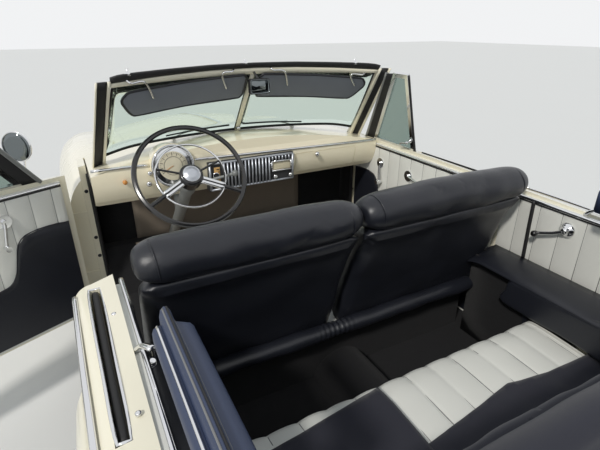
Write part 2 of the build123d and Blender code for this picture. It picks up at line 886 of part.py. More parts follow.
exhaust_y = -290
exhaust_radius = 22
hanger_z = (288, 304)
exhaust_route = [  # X and Z
    (1000, 400),
    (860, 296),
    (-1275, 296),
    (-1395, 470),
    (-1590, 470),
    (-1770, 340),
    (-2640, 340),
]
exhaust = ball((exhaust_route[0][0], exhaust_y, exhaust_route[0][1]), exhaust_radius)
for (x0, z0), (x1, z1) in zip(exhaust_route, exhaust_route[1:]):
    end = (x1, exhaust_y, z1)
    exhaust += rod((x0, exhaust_y, z0), end, exhaust_radius) + ball(end, exhaust_radius)
for x in (600, -800):
    exhaust += block(x - 20, x + 20, exhaust_y, seat_gap - rail_inner_y, *hanger_z)
save("exhaust", exhaust)


# Wheels, tyres and the steered knuckles
def revolve_wheel(profile, x, y):
    """Profile in (distance outboard, radius), turned about the wheel's axis on the left side."""
    plane = Plane(origin=(x, y, axle_z), x_dir=(0, 1, 0), z_dir=(1, 0, 0))
    return revolve(plane * profile, Axis((x, y, axle_z), (0, 1, 0)), 360)


def ring_face(x, y, radius):
    """Many-sided face across a wheel's axis, with a corner straight below the axle."""
    plane = Plane(origin=(x, y, axle_z), x_dir=(0, 0, -1), z_dir=(0, 1, 0))
    return plane * RegularPolygon(radius, tyre_sides)


def make_tyre(x, y):
    """Flat tread, bevelled shoulders and sidewalls that bulge over the rim."""
    half, r = tyre_width / 2, tyre_radius
    widest = rim_radius + 0.55 * (r - rim_radius)
    seat = rim_radius / math.cos(math.pi / tyre_sides)
    outer = [(half, widest + 20), (half - 12, r - 16), (half - 28, r)]
    inner = [(half, widest - 20), (half - 22, seat)]
    outer_faces = [ring_face(x, y + d, radius) for d, radius in outer]
    outer_faces += [ring_face(x, y - d, radius) for d, radius in reversed(outer)]
    inner_faces = [ring_face(x, y + d, radius) for d, radius in inner]
    inner_faces += [ring_face(x, y - d, radius) for d, radius in reversed(inner)]
    return loft(outer_faces, ruled=True) - loft(inner_faces, ruled=True)


def wheel_profile():
    """Rim, disc and domed cap in one outline."""
    half, rim, lip = rim_half, rim_radius - seat_gap, rim_radius - 16
    cap = [(half - 30, 115), (half - 8, 105), (half + 5, 70), (half + 11, 36), (half + 12, 12)]
    foot = [(disc_y, 12), (disc_y, lip), (-half, lip)]
    return outline((-half, rim), (half, rim), (half, lip), *cap, *foot)


wheels = {
    "front_left": (front_axle_x, front_track / 2, 1),
    "front_right": (front_axle_x, front_track / 2, -1),
    "rear_left": (rear_axle_x, rear_track / 2, 1),
    "rear_right": (rear_axle_x, rear_track / 2, -1),
}
for place, (x, y, side) in wheels.items():
    tyre = make_tyre(x, y)
    cap_middle = rod((x, y + disc_y, axle_z), (x, y + rim_half + 12, axle_z), 14)
    wheel = revolve_wheel(wheel_profile(), x, y) + cap_middle
    if side < 0:
        tyre, wheel = other_side(tyre), other_side(wheel)
    save("tyre_" + place, tyre)
    save("wheel_" + place, wheel)

upright = rod(
    (front_axle_x, kingpin_y, arm_heights[0] + arm_depth + seat_gap),
    (front_axle_x, kingpin_y, arm_heights[1] - arm_depth - seat_gap),
    kingpin_radius,
)
spindle_end = front_track / 2 + disc_y - seat_gap
upright += rod((front_axle_x, kingpin_y, axle_z), (front_axle_x, spindle_end, axle_z), 22)
drum_y = front_track / 2 - drum_inner
upright += rod((front_axle_x, drum_y, axle_z), (front_axle_x, drum_y + drum_width, axle_z), drum_radius)
save("knuckle_left", upright)
save("knuckle_right", other_side(upright))


# Bumpers: a pressed bar turned about a far upright axis, with guards and its brackets
bumper_half = 870
bumper_sheet = 8
bar_height = 150
guard_y, guard_half = 300, 24
bracket_y = (rail_inner_y + 5, rail_outer_y - 5)


def bumper(x_mid, sag, low):
    """Bar that bulges forward from its ends by sag: a swelling between an upper and a lower bead."""
    radius = (bumper_half**2 + sag**2) / (2 * sag)
    reach = math.degrees(math.asin(bumper_half / radius))
    outside = [(0, 0), ((18, 8), (20, 28)), ((40, 75), (20, 122)), ((18, 142), (0, bar_height))]
    inside = [(-bumper_sheet, bar_height), (8, 120), (27, 92), (27, 58), (8, 30), (-bumper_sheet, 0)]
    face = Pos(x_mid - 40, low) * outline(*outside, *inside)
    axis_x = x_mid - 40 - radius
    bar = revolve(SIDE * face, Axis((axis_x, 0, 0), (0, 0, 1)), 2 * reach)
    return bar.rotate(Axis((axis_x, 0, 0), (0, 0, 1)), -reach)


def guard(x_back, y, low):
    """Upright on a bumper, with a rounded front."""
    foot, top = low - 25, low + 195
    face = outline(
        (x_back, foot),
        (x_back + 40, foot),
        ((x_back + 62, low + 75), (x_back + 40, top)),
        (x_back, top),
    )
    form = across(face, y - guard_half, y + guard_half)
    return fillet(form.edges().filter_by(Axis.Y, reverse=True).group_by(Axis.X)[-1], 14)


front_bumper_x, front_bumper_z = 2345, 405
front_bumper = bumper(front_bumper_x, 70, front_bumper_z)
for side in (1, -1):
    front_bumper += guard(front_bumper_x - 62, side * guard_y, front_bumper_z)
    ends = (side * bracket_y[0], side * bracket_y[1])
    front_bumper += block(rail_front_x + seat_gap, front_bumper_x - 24, *ends, 320, 520)
save("front_bumper", front_bumper)
rear_bumper_x, rear_bumper_z = 2695, 400
rear_bumper = bumper(rear_bumper_x, 80, rear_bumper_z)
for side in (1, -1):
    rear_bumper += guard(rear_bumper_x - 62, side * guard_y, rear_bumper_z)
    ends = (side * bracket_y[0], side * bracket_y[1])
    rear_bumper += block(-rail_rear_x + seat_gap, rear_bumper_x - 24, *ends, 445, 505)
rear_bumper = mirror(rear_bumper, Plane.YZ)
plate_bolt_spacing = 178
plate_bolt_radius = 3.5
plate_z = 600
plate_back_x = -rear_bumper_x + 8
bracket = block(plate_back_x - 4, plate_back_x, -110, 110, plate_z - 60, plate_z + 15)
for bolt_y in (plate_bolt_spacing / 2, -plate_bolt_spacing / 2):
    hole_ends = [(plate_back_x + reach, bolt_y, plate_z) for reach in (-8, 8)]
    bracket -= rod(*hole_ends, plate_bolt_radius)
rear_bumper += bracket + block(plate_back_x - 2, -rear_bumper_x + 60, -30, 30, 535, 548)
save("rear_bumper", rear_bumper)
lamp_root = (rear_fender_stations[-1].x + 25, 625, 640)
tail_lens = ((60, 26), (66, core_radius - 1))
tail_lamp = turned(lamp_root, -1, (0, 50), (40, 50), (44, 42), tail_lens)
tail_lamp = tail_lamp.cut(fender_form(rear_fender_stations), tail_around)
tail_lamp = max(tail_lamp.solids(), key=lambda solid: solid.volume)
save("tail_lamps", tail_lamp, other_side(tail_lamp))

# Dashboard and what it carries
dash_half = cabin_half
glove_box = (-600, -228, 892, 1010)  # from and to in Y, then in Z
groove = 3
dash_profile = outline(
    (430, 1066),
    ((420, 980), (446, 905)),
    (470, 880),
    (492, 886),
    ((468, 980), (482, 1030)),
    (600, 1048),
    (640, 1150),
    (440, 1150),
)
cluster_face = Vector(404, 398, 1038)
cluster_axis = Vector(-90, 0, 15).normalized()
cluster_radius = 95
dial_radius = 66
dash = across(dash_profile, -dash_half, dash_half) & body_form
pod = rod(cluster_face - cluster_axis * 110, cluster_face - cluster_axis * 6, cluster_radius + 3)
dash = dash - upward(windshield_line(cowl_back + seat_gap), 800, 1300)
dash += pod & block(0, 520, 0, 600, 0, 1200)
y0, y1, z0, z1 = glove_box
lid_frame = block(300, 500, y0, y1, z0, z1)
lid_frame -= block(300, 500, y0 + groove, y1 - groove, z0 + groove, z1 - groove)
dash -= lid_frame - across(offset(dash_profile, amount=-groove), -dash_half, dash_half)
save("dashboard", dash)
cluster = rod(cluster_face - cluster_axis * (6 - seat_gap), cluster_face + cluster_axis * 10, cluster_radius)
cluster -= rod(cluster_face + cluster_axis * 2, cluster_face + cluster_axis * 11, dial_radius + 14)
cluster += rod(cluster_face, cluster_face + cluster_axis * 7, dial_radius)
save("instrument_cluster", cluster - dash)
panel_rear_x, panel_left_y, panel_right_y = 404, 240, -206
panel_low_z, panel_high_z = 886, 1028
dash_grille = block(panel_rear_x, 450, panel_right_y, panel_left_y, panel_low_z, panel_high_z)
rib_pitch, rib_width, rib_count = 18, 9, 14
first_rib_y = panel_left_y - 70
rib_z = (panel_low_z + 8, panel_high_z - 8)
for i in range(rib_count):
    y = first_rib_y - i * rib_pitch
    dash_grille += block(panel_rear_x - 7, panel_rear_x + 1, y - rib_width, y, *rib_z)
pod_ends = (cluster_face - cluster_axis * 110, cluster_face + cluster_axis * 40)
dash_grille -= rod(*pod_ends, cluster_radius + 3 + seat_gap)
dash_grille -= across(offset(dash_profile, amount=seat_gap), -dash_half, dash_half)
save("dash_grille", max(dash_grille.solids(), key=lambda solid: solid.volume))

# Steering column and wheel
tilt = math.radians(column_tilt)
axis_up = Vector(-math.cos(tilt), 0, math.sin(tilt))
hub = Vector(*wheel_hub)


def on_axis(distance):
    return tuple(hub + axis_up * distance)


column = rod(on_axis(-22 - seat_gap), on_axis(-710), 26) + rod(on_axis(-60), on_axis(-105), 34)
shift_knob = tuple(Vector(*on_axis(-70)) + Vector(-60, -190, 40))
column += rod(on_axis(-85), shift_knob, 6) + ball(shift_knob, 14)
column += block(472, 490, wheel_hub[1] - 18, wheel_hub[1] + 18, 790, 890)
save("steering_column", column - dash - front_floor)

rim_centre = on_axis(28)
wheel_plane = Plane(origin=rim_centre, x_dir=(0, 1, 0), z_dir=axis_up)
rim_profile = Pos(steering_radius - rim_section, 0) * RegularPolygon(rim_section, 8)
rim = wheel_plane * revolve(Plane.XZ * rim_profile, Axis.Z, 360)
spokes = rod(on_axis(-22), on_axis(20), 46)
spoke_angle = math.radians(30)  # below the horizontal
rim_reach = steering_radius - rim_section


def on_rim(radius, angle, height=0):
    """A place on the wheel: the angle runs from the left, downwards."""
    return (wheel_plane * Pos(radius * math.cos(angle), radius * math.sin(angle), height)).position


for angle in (spoke_angle, math.pi - spoke_angle):
    spokes += rod(on_rim(20, angle, -14), on_rim(rim_reach, angle, 0), 9)
horn_radius, horn_section = 138, 4.5
horn_ends = math.radians(-20)
horn_ring = Pos(horn_radius, 0) * RegularPolygon(horn_section, 8)
horn_plane = Plane(origin=on_rim(0, 0, -4), x_dir=(0, 1, 0), z_dir=axis_up)
horn_turn = math.degrees(horn_ends)
horn = horn_plane * Rot(0, 0, horn_turn) * revolve(Plane.XZ * horn_ring, Axis.Z, 180 - 2 * horn_turn)
for angle in (horn_ends, math.pi - horn_ends):
    horn += rod(on_rim(25, angle, -6), on_rim(horn_radius, angle, -4), horn_section)
spokes += horn
save("steering_wheel", rim + spokes)

# Pedals on the toe board
pedal_places = [(480, 36), (330, 36), (230, 26)]  # Y and radius
pedals = []
toe_slope = Vector(toe_bend_x - toe_foot_x, 0, toe_z - floor_z - floor_sheet).normalized()
toe_out = Vector(-toe_slope.Z, 0, toe_slope.X)
for y, radius in pedal_places:
    root = Vector(toe_foot_x, y, floor_z + floor_sheet) + toe_slope * 110
    pad = root + toe_out * 55
    pedals.append(rod(root, pad, 7) + rod(pad - toe_out * 4, pad + toe_out * 6, radius))
save("pedals", *[pedal - front_floor for pedal in pedals])

# Front bench: one cushion, two backs with a rolled top each, and a padded roll at their foot
bench_half = 660
cushion = outline(
    (-375, seat_base_z + seat_gap),
    (100, seat_base_z + seat_gap),
    (122, 570),
    ((100, 650), (20, 662)),
    (-330, 632),
    (-375, 600),
)
back = outline(
    (-280, 600),
    (-385, 560),
    ((-462, 770), (-525, 960)),
    (-540, 972),
    ((-586, 1052), (-566, 1128)),
    ((-535, 1165), (-492, 1158)),
    ((-445, 1130), (-430, 1060)),
)
roll_centre = (-433, 600)
roll_radius = 32
roll_y = (-470, 530)
cushion_form = across(cushion, -bench_half, bench_half)
cushion_clear = across(offset(cushion, amount=seat_gap), -900, 900)
back_clear = across(offset(back, amount=seat_gap), -900, 900)
save("front_seat_cushion", fillet(cushion_form.edges().group_by(Axis.Z)[-1], 12))
driver_back = across(back, seat_split_y + 5, seat_half) - cushion_clear
passenger_back = across(back, -seat_half, seat_split_y - 5) - cushion_clear
roll = rod(*[(roll_centre[0], y, roll_centre[1]) for y in roll_y], roll_radius)
save("front_seat_backs", driver_back, passenger_back, roll - back_clear - cushion_clear)

# Rear seat between the wheelhouse covers, and the side panels round it
rear_cushion_foot_z = seat_pan_z + floor_sheet
rear_cushion = outline(
    (-1198, rear_cushion_foot_z),
    (-760, rear_cushion_foot_z),
    (-730, 560),
    ((-750, 605), (-800, 612)),
    (-1180, 590),
)
save("rear_seat_cushion", across(rear_cushion, -rear_seat_half, rear_seat_half))
rear_back_x = -1250
back_foot_z = trunk_floor_z + floor_sheet + seat_gap
rear_back = outline(
    (rear_back_x, back_foot_z),
    (-1190, back_foot_z),
    (-1120, 980),
    ((-1150, 1010), (-1200, 1000)),
    (rear_back_x, 980),
)
save("rear_seat_back", across(rear_back, -rear_seat_half, rear_seat_half))

cover_front_x = -640
cover_rear_x = -1110
cover_inner_y = 572
cover_sheet = 12
cover_high_z, cover_low_z = wheelhouse_z, 625
lining_x = (-905, -720)
side_trim_front_x = -475
side_trim_rear_x = -1280


def make_armrest():
    """Padded top of the wheelhouse, with the lining of the wall below it."""
    wall_y = wheelhouse_y - seat_gap
    side = outline(
        (cover_front_x, cover_low_z),
        (cover_front_x, cover_high_z - 60),
        ((cover_front_x - 12, cover_high_z - 12), (cover_front_x - 60, cover_high_z)),
        (cover_rear_x, cover_high_z),
        (cover_rear_x, cover_low_z),
    )
    pad = across(side, cover_inner_y, wall_y)
    corner = pad.edges().filter_by(Axis.X).filter_by_position(Axis.Z, cover_high_z - 1, cover_high_z + 1)
    pad = fillet(corner.sort_by(Axis.Y)[0], 22)
    foot_z = seat_pan_z + floor_sheet + seat_gap
    lining = block(*lining_x, wall_y - cover_sheet, wall_y, foot_z, cover_low_z + 1)
    return pad + lining


armrest = make_armrest()
save("armrests", armrest, other_side(armrest))
side_trim_y = (trim_face_y, door_inner_y - seat_gap)
side_trim = block(side_trim_rear_x, side_trim_front_x, *side_trim_y, wheelhouse_z + seat_gap, trim_top_z)
save("quarter_trims", side_trim, other_side(side_trim))

# Folded top behind the rear seat, and the side rails of its frame
top_stack = outline(
    (rear_back_x - seat_gap, 700),
    (rear_back_x - seat_gap, 1010),
    ((-1290, 1062), (-1380, 1085)),
    ((-1520, 1080), (-1630, 1015)),
    ((-1672, 960), (-1672, 880)),
    (-1630, 700),
)
stack = across(top_stack, -570, 570)
save("folded_top", stack)
rail_section = outline(
    (722, 1050),
    (725, 1092),
    (704, 1104),
    (700, 1126),
    (677, 1136),
    (672, 1118),
    (612, 1100),
    (606, 1050),
)
top_rail = along(rail_section, -1235, -770)
top_rail -= upward(outline((-700, 640), (-700, 800), (-800, 800), (-770, 700), (-790, 640)), 1000, 1200)
top_rail -= upward(outline((-700, 500), (-700, 672), (-812, 672), (-840, 500)), 1000, 1200)
top_rail += block(-1190, -1130, 690, trim_face_y - seat_gap, 960, 1060)
save("top_rails", top_rail, other_side(top_rail))

# Sun visors and the inside mirror, carried by the header
visor_depth = 12
visor_stand = 10
visor_stands = [(150, 1433), (460, 1405)]  # Y and top in Z
visor_face = outline(
    (70, 1345),
    (535, 1292),
    ((588, 1325), (552, 1380)),
    (70, 1420),
)
visor = glass_slab(visor_depth, glass_depth + visor_stand) & along(visor_face, 0, 1000)
for y, z in visor_stands:
    visor += glass_slab(visor_stand, glass_depth + seat_gap) & block(0, 1000, y, y + 14, z - 28, z)
save("sun_visors", visor, other_side(visor))
mirror_body = block(318, 332, -105, 105, 1352, 1402) + rod((325, 0, 1390), (400, 0, 1440), 6)
save("inside_mirror", mirror_body - windshield_frame)
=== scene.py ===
import math

import bmesh
import bpy
from mathutils import Matrix, Vector, noise


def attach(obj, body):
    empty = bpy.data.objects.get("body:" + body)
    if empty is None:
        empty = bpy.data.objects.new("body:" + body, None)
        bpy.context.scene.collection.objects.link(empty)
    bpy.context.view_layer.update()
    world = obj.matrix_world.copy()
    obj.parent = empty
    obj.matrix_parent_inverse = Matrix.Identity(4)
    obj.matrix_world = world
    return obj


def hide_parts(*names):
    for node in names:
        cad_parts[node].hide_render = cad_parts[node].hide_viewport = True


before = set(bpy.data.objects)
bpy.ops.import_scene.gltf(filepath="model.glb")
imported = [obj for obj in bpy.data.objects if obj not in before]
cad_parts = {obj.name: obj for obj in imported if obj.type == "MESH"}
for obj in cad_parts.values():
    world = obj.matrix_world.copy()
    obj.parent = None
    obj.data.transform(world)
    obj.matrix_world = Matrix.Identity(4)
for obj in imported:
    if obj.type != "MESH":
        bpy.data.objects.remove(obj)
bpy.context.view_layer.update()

# Everything is in metres: X forward, Y to the left, Z up, with the ground at zero.

# Camera, fitted to the photograph
heading, pitch = math.radians(28.0), math.radians(24.3)
focal_pixels, picture_pixels = 440.7, 600
camera_data = bpy.data.cameras.new("camera")
camera_data.sensor_width = 36
camera_data.lens = focal_pixels / picture_pixels * 36
camera = bpy.data.objects.new("camera", camera_data)
bpy.context.collection.objects.link(camera)
camera.location = (-1.548, 0.792, 1.608)
look = Vector((math.cos(heading) * math.cos(pitch), -math.sin(heading) * math.cos(pitch), -math.sin(pitch)))
camera.rotation_euler = look.to_track_quat("-Z", "Y").to_euler()
bpy.context.scene.camera = camera
bpy.context.scene.view_settings.view_transform = "Standard"


def srgb(rgb):
    """Linear colour of a written one."""
    parts = [c / 255 for c in rgb]
    return tuple(c / 12.92 if c <= 0.04045 else ((c + 0.055) / 1.055) ** 2.4 for c in parts) + (1,)


def surface(name, rgb, rough):
    m = bpy.data.materials.new(name)
    m.use_nodes = True
    nodes = m.node_tree.nodes
    p = nodes["Principled BSDF"]
    p.inputs["Base Color"].default_value = srgb(rgb)
    p.inputs["Roughness"].default_value = rough
    return m, nodes, m.node_tree.links, p


def vary_roughness(nodes, links, p, cloud, low, high):
    """The roughness follows a noise between two values."""
    spread = nodes.new("ShaderNodeMapRange")
    spread.inputs["To Min"].default_value = low
    spread.inputs["To Max"].default_value = high
    links.new(cloud.outputs["Fac"], spread.inputs["Value"])
    links.new(spread.outputs["Result"], p.inputs["Roughness"])


def material(name, slot, rgb, rough, grain=None, mottle=None, metal=0.0, coat=0.0, sheen=0.0):
    """Principled surface: grain is (scale, height) of its bump, mottle is (scale, amount) of its tone."""
    m, nodes, links, p = surface(name, rgb, rough)
    p.inputs["Metallic"].default_value = metal
    p.inputs["Coat Weight"].default_value = coat
    p.inputs["Coat Roughness"].default_value = 0.08
    p.inputs["Sheen Weight"].default_value = sheen
    place = nodes.new("ShaderNodeTexCoord")
    if mottle:
        cloud = nodes.new("ShaderNodeTexNoise")
        cloud.inputs["Scale"].default_value = mottle[0]
        cloud.inputs["Detail"].default_value = 4
        links.new(place.outputs["Object"], cloud.inputs["Vector"])
        mix = nodes.new("ShaderNodeMix")
        mix.data_type = "RGBA"
        colour = srgb(rgb)[:3]
        mix.inputs["A"].default_value = tuple(c * (1 - mottle[1]) for c in colour) + (1,)
        mix.inputs["B"].default_value = tuple(min(1, c * (1 + mottle[1])) for c in colour) + (1,)
        links.new(cloud.outputs["Fac"], mix.inputs["Factor"])
        links.new(mix.outputs["Result"], p.inputs["Base Color"])
        vary_roughness(nodes, links, p, cloud, rough * 0.85, min(1, rough * 1.15))
    if grain:
        cell = nodes.new("ShaderNodeTexVoronoi" if grain[0] > 300 else "ShaderNodeTexNoise")
        cell.inputs["Scale"].default_value = grain[0]
        links.new(place.outputs["Object"], cell.inputs["Vector"])
        bump = nodes.new("ShaderNodeBump")
        bump.inputs["Strength"].default_value = 0.5
        bump.inputs["Distance"].default_value = grain[1]
        links.new(cell.outputs[0], bump.inputs["Height"])
        links.new(bump.outputs["Normal"], p.inputs["Normal"])
    return m


def glass(name, rgb, rough=0.02):
    m, nodes, links, p = surface(name, rgb, rough)
    p.inputs["Transmission Weight"].default_value = 1.0
    p.inputs["IOR"].default_value = 1.12
    cloud = nodes.new("ShaderNodeTexNoise")
    cloud.inputs["Scale"].default_value = 3
    vary_roughness(nodes, links, p, cloud, rough * 0.6, rough * 1.6)
    return m


enamel = {"coat": 0.7, "mottle": (1.5, 0.02), "grain": (60, 0.00003)}
moulded = {"mottle": (20, 0.06), "grain": (90, 0.00004)}
lens = {"grain": (160, 0.0006)}
paint = material("paint_cream", "paint", (240, 234, 212), 0.28, **enamel)
# The dash takes the body's cream paint made lighter, to make up for the shade over the dash under the
# windshield: a painted lit copy of the paint.
dash_cream_painted_light = material("dash_cream_painted_light", "paint", (246, 236, 208), 0.3, **{**enamel, "coat": 0.6})
vinyl_black = material("vinyl_black", "black_vinyl", (30, 32, 39), 0.36, (900, 0.00025), (7, 0.12))
vinyl_white = material("vinyl_white", "white_vinyl", (226, 226, 219), 0.45, (900, 0.00022), (9, 0.03))
seam_grey = material("seam_grey", "white_vinyl", (122, 122, 122), 0.6, (900, 0.0002), (30, 0.1))
visor_grey = material("visor_grey", "black_vinyl", (122, 127, 136), 0.6, (800, 0.00025), (12, 0.08))
cloth_dark = material("cloth_dark", "top_cloth", (34, 35, 46), 0.85, (1200, 0.0003), (12, 0.12), sheen=0.15)
rail_blue = material("rail_blue", "top_cloth", (54, 64, 90), 0.45, (400, 0.0002), (14, 0.12))
carpet = material("carpet_black", "floor_mat", (13, 13, 16), 0.97, (420, 0.0015), (20, 0.3), sheen=0.05)
mat_brown = material("mat_brown", "floor_mat", (128, 117, 104), 0.75, (250, 0.0006), (9, 0.12))
rubber = material("rubber_black", "black_plastic", (24, 24, 26), 0.6, (500, 0.0002), (15, 0.15))
tyre_rubber = material("tyre_rubber", "tyre", (34, 34, 35), 0.75, (350, 0.0004), (12, 0.15))
chrome = material("chrome", "chrome", (225, 226, 228), 0.1, (30, 0.00003), (6, 0.04), metal=1.0)
bright_metal = material(
    "bright_metal", "chrome", (186, 190, 197), 0.32, (90, 0.00003), (20, 0.05), metal=0.55,
)
dark_mirror = material("mirror_glass", "chrome", (120, 126, 128), 0.05, mottle=(6, 0.04), metal=1.0)
steel_dark = material("steel_dark", "steel", (58, 58, 60), 0.6, (200, 0.0002), (10, 0.2), metal=0.3)
plastic_black = material(
    "plastic_black", "black_plastic", (20, 20, 22), 0.22, (80, 0.00003), (20, 0.1), coat=0.4,
)
plastic_grey = material("plastic_grey", "grey_paint", (128, 130, 128), 0.35, **moulded)
knob_ivory = material("knob_ivory", "paint", (214, 204, 176), 0.3, (90, 0.00004), (20, 0.05))
knob_orange = material("knob_orange", "red_lens", (206, 140, 70), 0.3, **moulded)
tinted = glass("glass_tinted", (222, 235, 226))
dark_glass = glass("glass_dark", (150, 166, 158), 0.04)
amber = material("dial_amber", "lamp", (214, 172, 112), 0.35, (80, 0.00003), (60, 0.1))
dial_face = material("dial_face", "white_vinyl", (216, 208, 184), 0.4, (90, 0.00003), (40, 0.08))
dial_mark = material("dial_mark", "black_plastic", (52, 44, 36), 0.5, (90, 0.00002), (60, 0.04))
lamp_clear = material("lamp_clear", "lamp", (220, 224, 226), 0.12, mottle=(10, 0.03), coat=0.8, **lens)
lamp_red = material("lamp_red", "red_lens", (160, 24, 20), 0.18, mottle=(10, 0.08), coat=0.6, **lens)

# Finishes of the CAD nodes; what isn't named is painted
finishes = {
    vinyl_black: "armrests front_seat_backs",
    vinyl_white: "door_trim_left door_trim_right front_seat_cushion quarter_trims rear_seat_cushion",
    cloth_dark: "folded_top rear_seat_back",
    steel_dark: "chassis_frame dash_grille engine exhaust front_suspension fuel_tank inside_mirror "
                "knuckle_left knuckle_right rear_axle",
    chrome: "door_fittings_left door_fittings_right door_mirror front_bumper grille headlamps "
            "instrument_cluster rear_bumper tail_lamps",
    tyre_rubber: "tyre_front_left tyre_front_right tyre_rear_left tyre_rear_right",
    dash_cream_painted_light: "dashboard", dark_glass: "door_glass_left door_glass_right", carpet: "floor",
    rubber: "pedals", plastic_grey: "steering_column", plastic_black: "steering_wheel",
    visor_grey: "sun_visors", rail_blue: "top_rails", tinted: "windshield_glass",
}
finish_of = {name: finish for finish, names in finishes.items() for name in names.split()}
for name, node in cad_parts.items():
    node.data.materials.clear()
    node.data.materials.append(finish_of.get(name, paint))

# Ways to make a piece; flipped mirrors one to the right side
flipped = Matrix.Scale(-1, 4, (0, 1, 0))
both_sides = (("left", 1, {}), ("right", -1, {"shift": flipped}))


def add(name, verts, faces, finish, body="car_body", shift=None, flat=False):
    """A mesh piece that rides on a body, moved by the matrix shift."""
    mesh = bpy.data.meshes.new(name)
    mesh.from_pydata([tuple(v) for v in verts], [], faces)
    if shift:
        mesh.transform(shift)
    form = bmesh.new()
    form.from_mesh(mesh)
    bmesh.ops.recalc_face_normals(form, faces=form.faces)
    form.to_mesh(mesh)
    form.free()
    if not flat:
        mesh.shade_smooth()
    mesh.materials.append(finish)
    piece = bpy.data.objects.new(name, mesh)
    bpy.context.collection.objects.link(piece)
    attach(piece, body)
    return piece


def loft(name, rings, finish, closed=False, **where):
    """Skin over rings of points, with a disc at each end or joined round if closed."""
    rows, across = len(rings), len(rings[0])
    faces = []
    for i in range(rows if closed else rows - 1):
        j = (i + 1) % rows
        for k in range(across):
            n = (k + 1) % across
            faces.append((i * across + k, i * across + n, j * across + n, j * across + k))
    if not closed:
        faces += [tuple(range(across)), tuple((rows - 1) * across + k for k in range(across))]
    return add(name, [p for ring in rings for p in ring], faces, finish, **where)


def curve_through(points, spacing, closed=False):
    """Points about spacing apart on a smooth curve through the given ones."""
    pts = [Vector(p) for p in points]
    count = len(pts)
    out = []
    for i in range(count if closed else count - 1):
        if closed:
            a, b, c, d = (pts[(i + k) % count] for k in (-1, 0, 1, 2))
        else:
            a, b, c, d = (pts[min(max(i + k, 0), count - 1)] for k in (-1, 0, 1, 2))
        steps = max(1, round((c - b).length / spacing))
        for k in range(steps):
            t = k / steps
            square, cube = 2 * a - 5 * b + 4 * c - d, 3 * b - a - 3 * c + d
            out.append(0.5 * (2 * b + (c - a) * t + square * t**2 + cube * t**3))
    if not closed:
        out.append(pts[-1])
    return out


def tube(name, points, radius, finish, closed=False, spacing=0.02, sides=8, squash=1.0, **where):
    """Round bar along a smooth curve; squash flattens its section along Z."""
    path = curve_through(points, spacing, closed)
    count = len(path)
    rings = []
    across = None
    for i, p in enumerate(path):
        ahead = path[(i + 1) % count] if closed or i < count - 1 else p
        behind = path[i - 1] if closed or i else p
        forward = (ahead - behind).normalized()
        if across is None:
            across = forward.cross(Vector((0, 0, 1) if abs(forward.z) < 0.9 else (1, 0, 0))).normalized()
        across = (across - forward * across.dot(forward)).normalized()
        up = forward.cross(across)
        ring = []
        for k in range(sides):
            a = 2 * math.pi * k / sides
            offset = across * math.cos(a) * radius + up * math.sin(a) * radius
            ring.append(p + Vector((offset.x, offset.y, offset.z * squash)))
        rings.append(ring)
    return loft(name, rings, finish, closed, **where)


def lathe(name, centre, axis, profile, finish, segments=32, hollow=False, **where):
    """Round piece about an axis: profile rows are (distance along it, radius); hollow ones are rings."""
    axis = Vector(axis).normalized()
    side = axis.cross(Vector((0, 0, 1) if abs(axis.z) < 0.9 else (1, 0, 0))).normalized()
    up = axis.cross(side)
    centre = Vector(centre)
    angles = (2 * math.pi * k / segments for k in range(segments))
    spokes = [side * math.cos(a) + up * math.sin(a) for a in angles]
    rings = []
    for along, radius in profile:
        rings.append([centre + axis * along + spoke * max(radius, 0.0002) for spoke in spokes])
    return loft(name, rings, finish, hollow, **where)


def every(make, rows, tag="", **where):
    """A piece from each row: its name, the values that make takes, and a dict of named ones if any."""
    for name, *values in rows:
        named = values.pop() if isinstance(values[-1], dict) else {}
        make(name + tag, *values, **named, **where)


def panel(name, rows, finish, thick=0.0, **where):
    """Sheet through rows of points, made solid by a thickness."""
    width = len(rows[0])
    verts = [p for row in rows for p in row]
    faces = []
    for i in range(len(rows) - 1):
        for k in range(width - 1):
            a = i * width + k
            faces.append((a, a + 1, a + width + 1, a + width))
    piece = add(name, verts, faces, finish, **where)
    if thick:
        form = bmesh.new()
        form.from_mesh(piece.data)
        bmesh.ops.solidify(form, geom=form.faces[:], thickness=thick)
        bmesh.ops.recalc_face_normals(form, faces=form.faces)
        form.to_mesh(piece.data)
        form.free()
        piece.data.shade_smooth()
    return piece


def outward(ring):
    """Outward normals of a closed curve in (X, Z)."""
    area = sum(a.x * b.y - b.x * a.y for a, b in zip(ring, ring[1:] + ring[:1]))
    turn = 1 if area > 0 else -1
    normals = []
    for i in range(len(ring)):
        along = ring[(i + 1) % len(ring)] - ring[i - 1]
        normals.append(Vector((along.y, -along.x)).normalized() * turn)
    return normals


def swept(
    name, profile, y0, y1, finish, corner=0.03, step=0.012, spacing=0.012, press=None, run=None, **where,
):
    """Stuffed form: a side view (X, Z) drawn across the car and rounded at both ends.

    The ends are drawn in by corner over a length of run. press(x, y, z) says how far its skin is
    drawn in at a place.
    """
    run = run or corner
    ring = curve_through(profile, spacing, closed=True)
    normals = outward(ring)
    middle = sum(ring, Vector((0, 0))) / len(ring)
    rounds = 6
    arcs = [math.pi / 2 * k / rounds for k in range(rounds)]
    first = [(y0 + run * (1 - math.cos(a)), corner * (1 - math.sin(a))) for a in arcs]
    last = [(y0 + y1 - y, inset) for y, inset in reversed(first)]
    steps = max(2, round((y1 - y0 - 2 * run) / step))
    between = [(y0 + run + (y1 - y0 - 2 * run) * k / steps, 0) for k in range(steps + 1)]

    def end(share, y):
        inner = (middle.lerp(p - n * corner, share) for p, n in zip(ring, normals))
        return [(q.x, y, q.y) for q in inner]

    rings = [end(0.3, y0), end(0.7, y0)]
    for y, inset in first + between + last:
        row = []
        for p, n in zip(ring, normals):
            q = p - n * (inset + (press(p.x, y, p.y) if press else 0))
            row.append((q.x, y, q.y))
        rings.append(row)
    rings += [end(0.7, y1), end(0.3, y1)]
    return loft(name, rings, finish, **where)


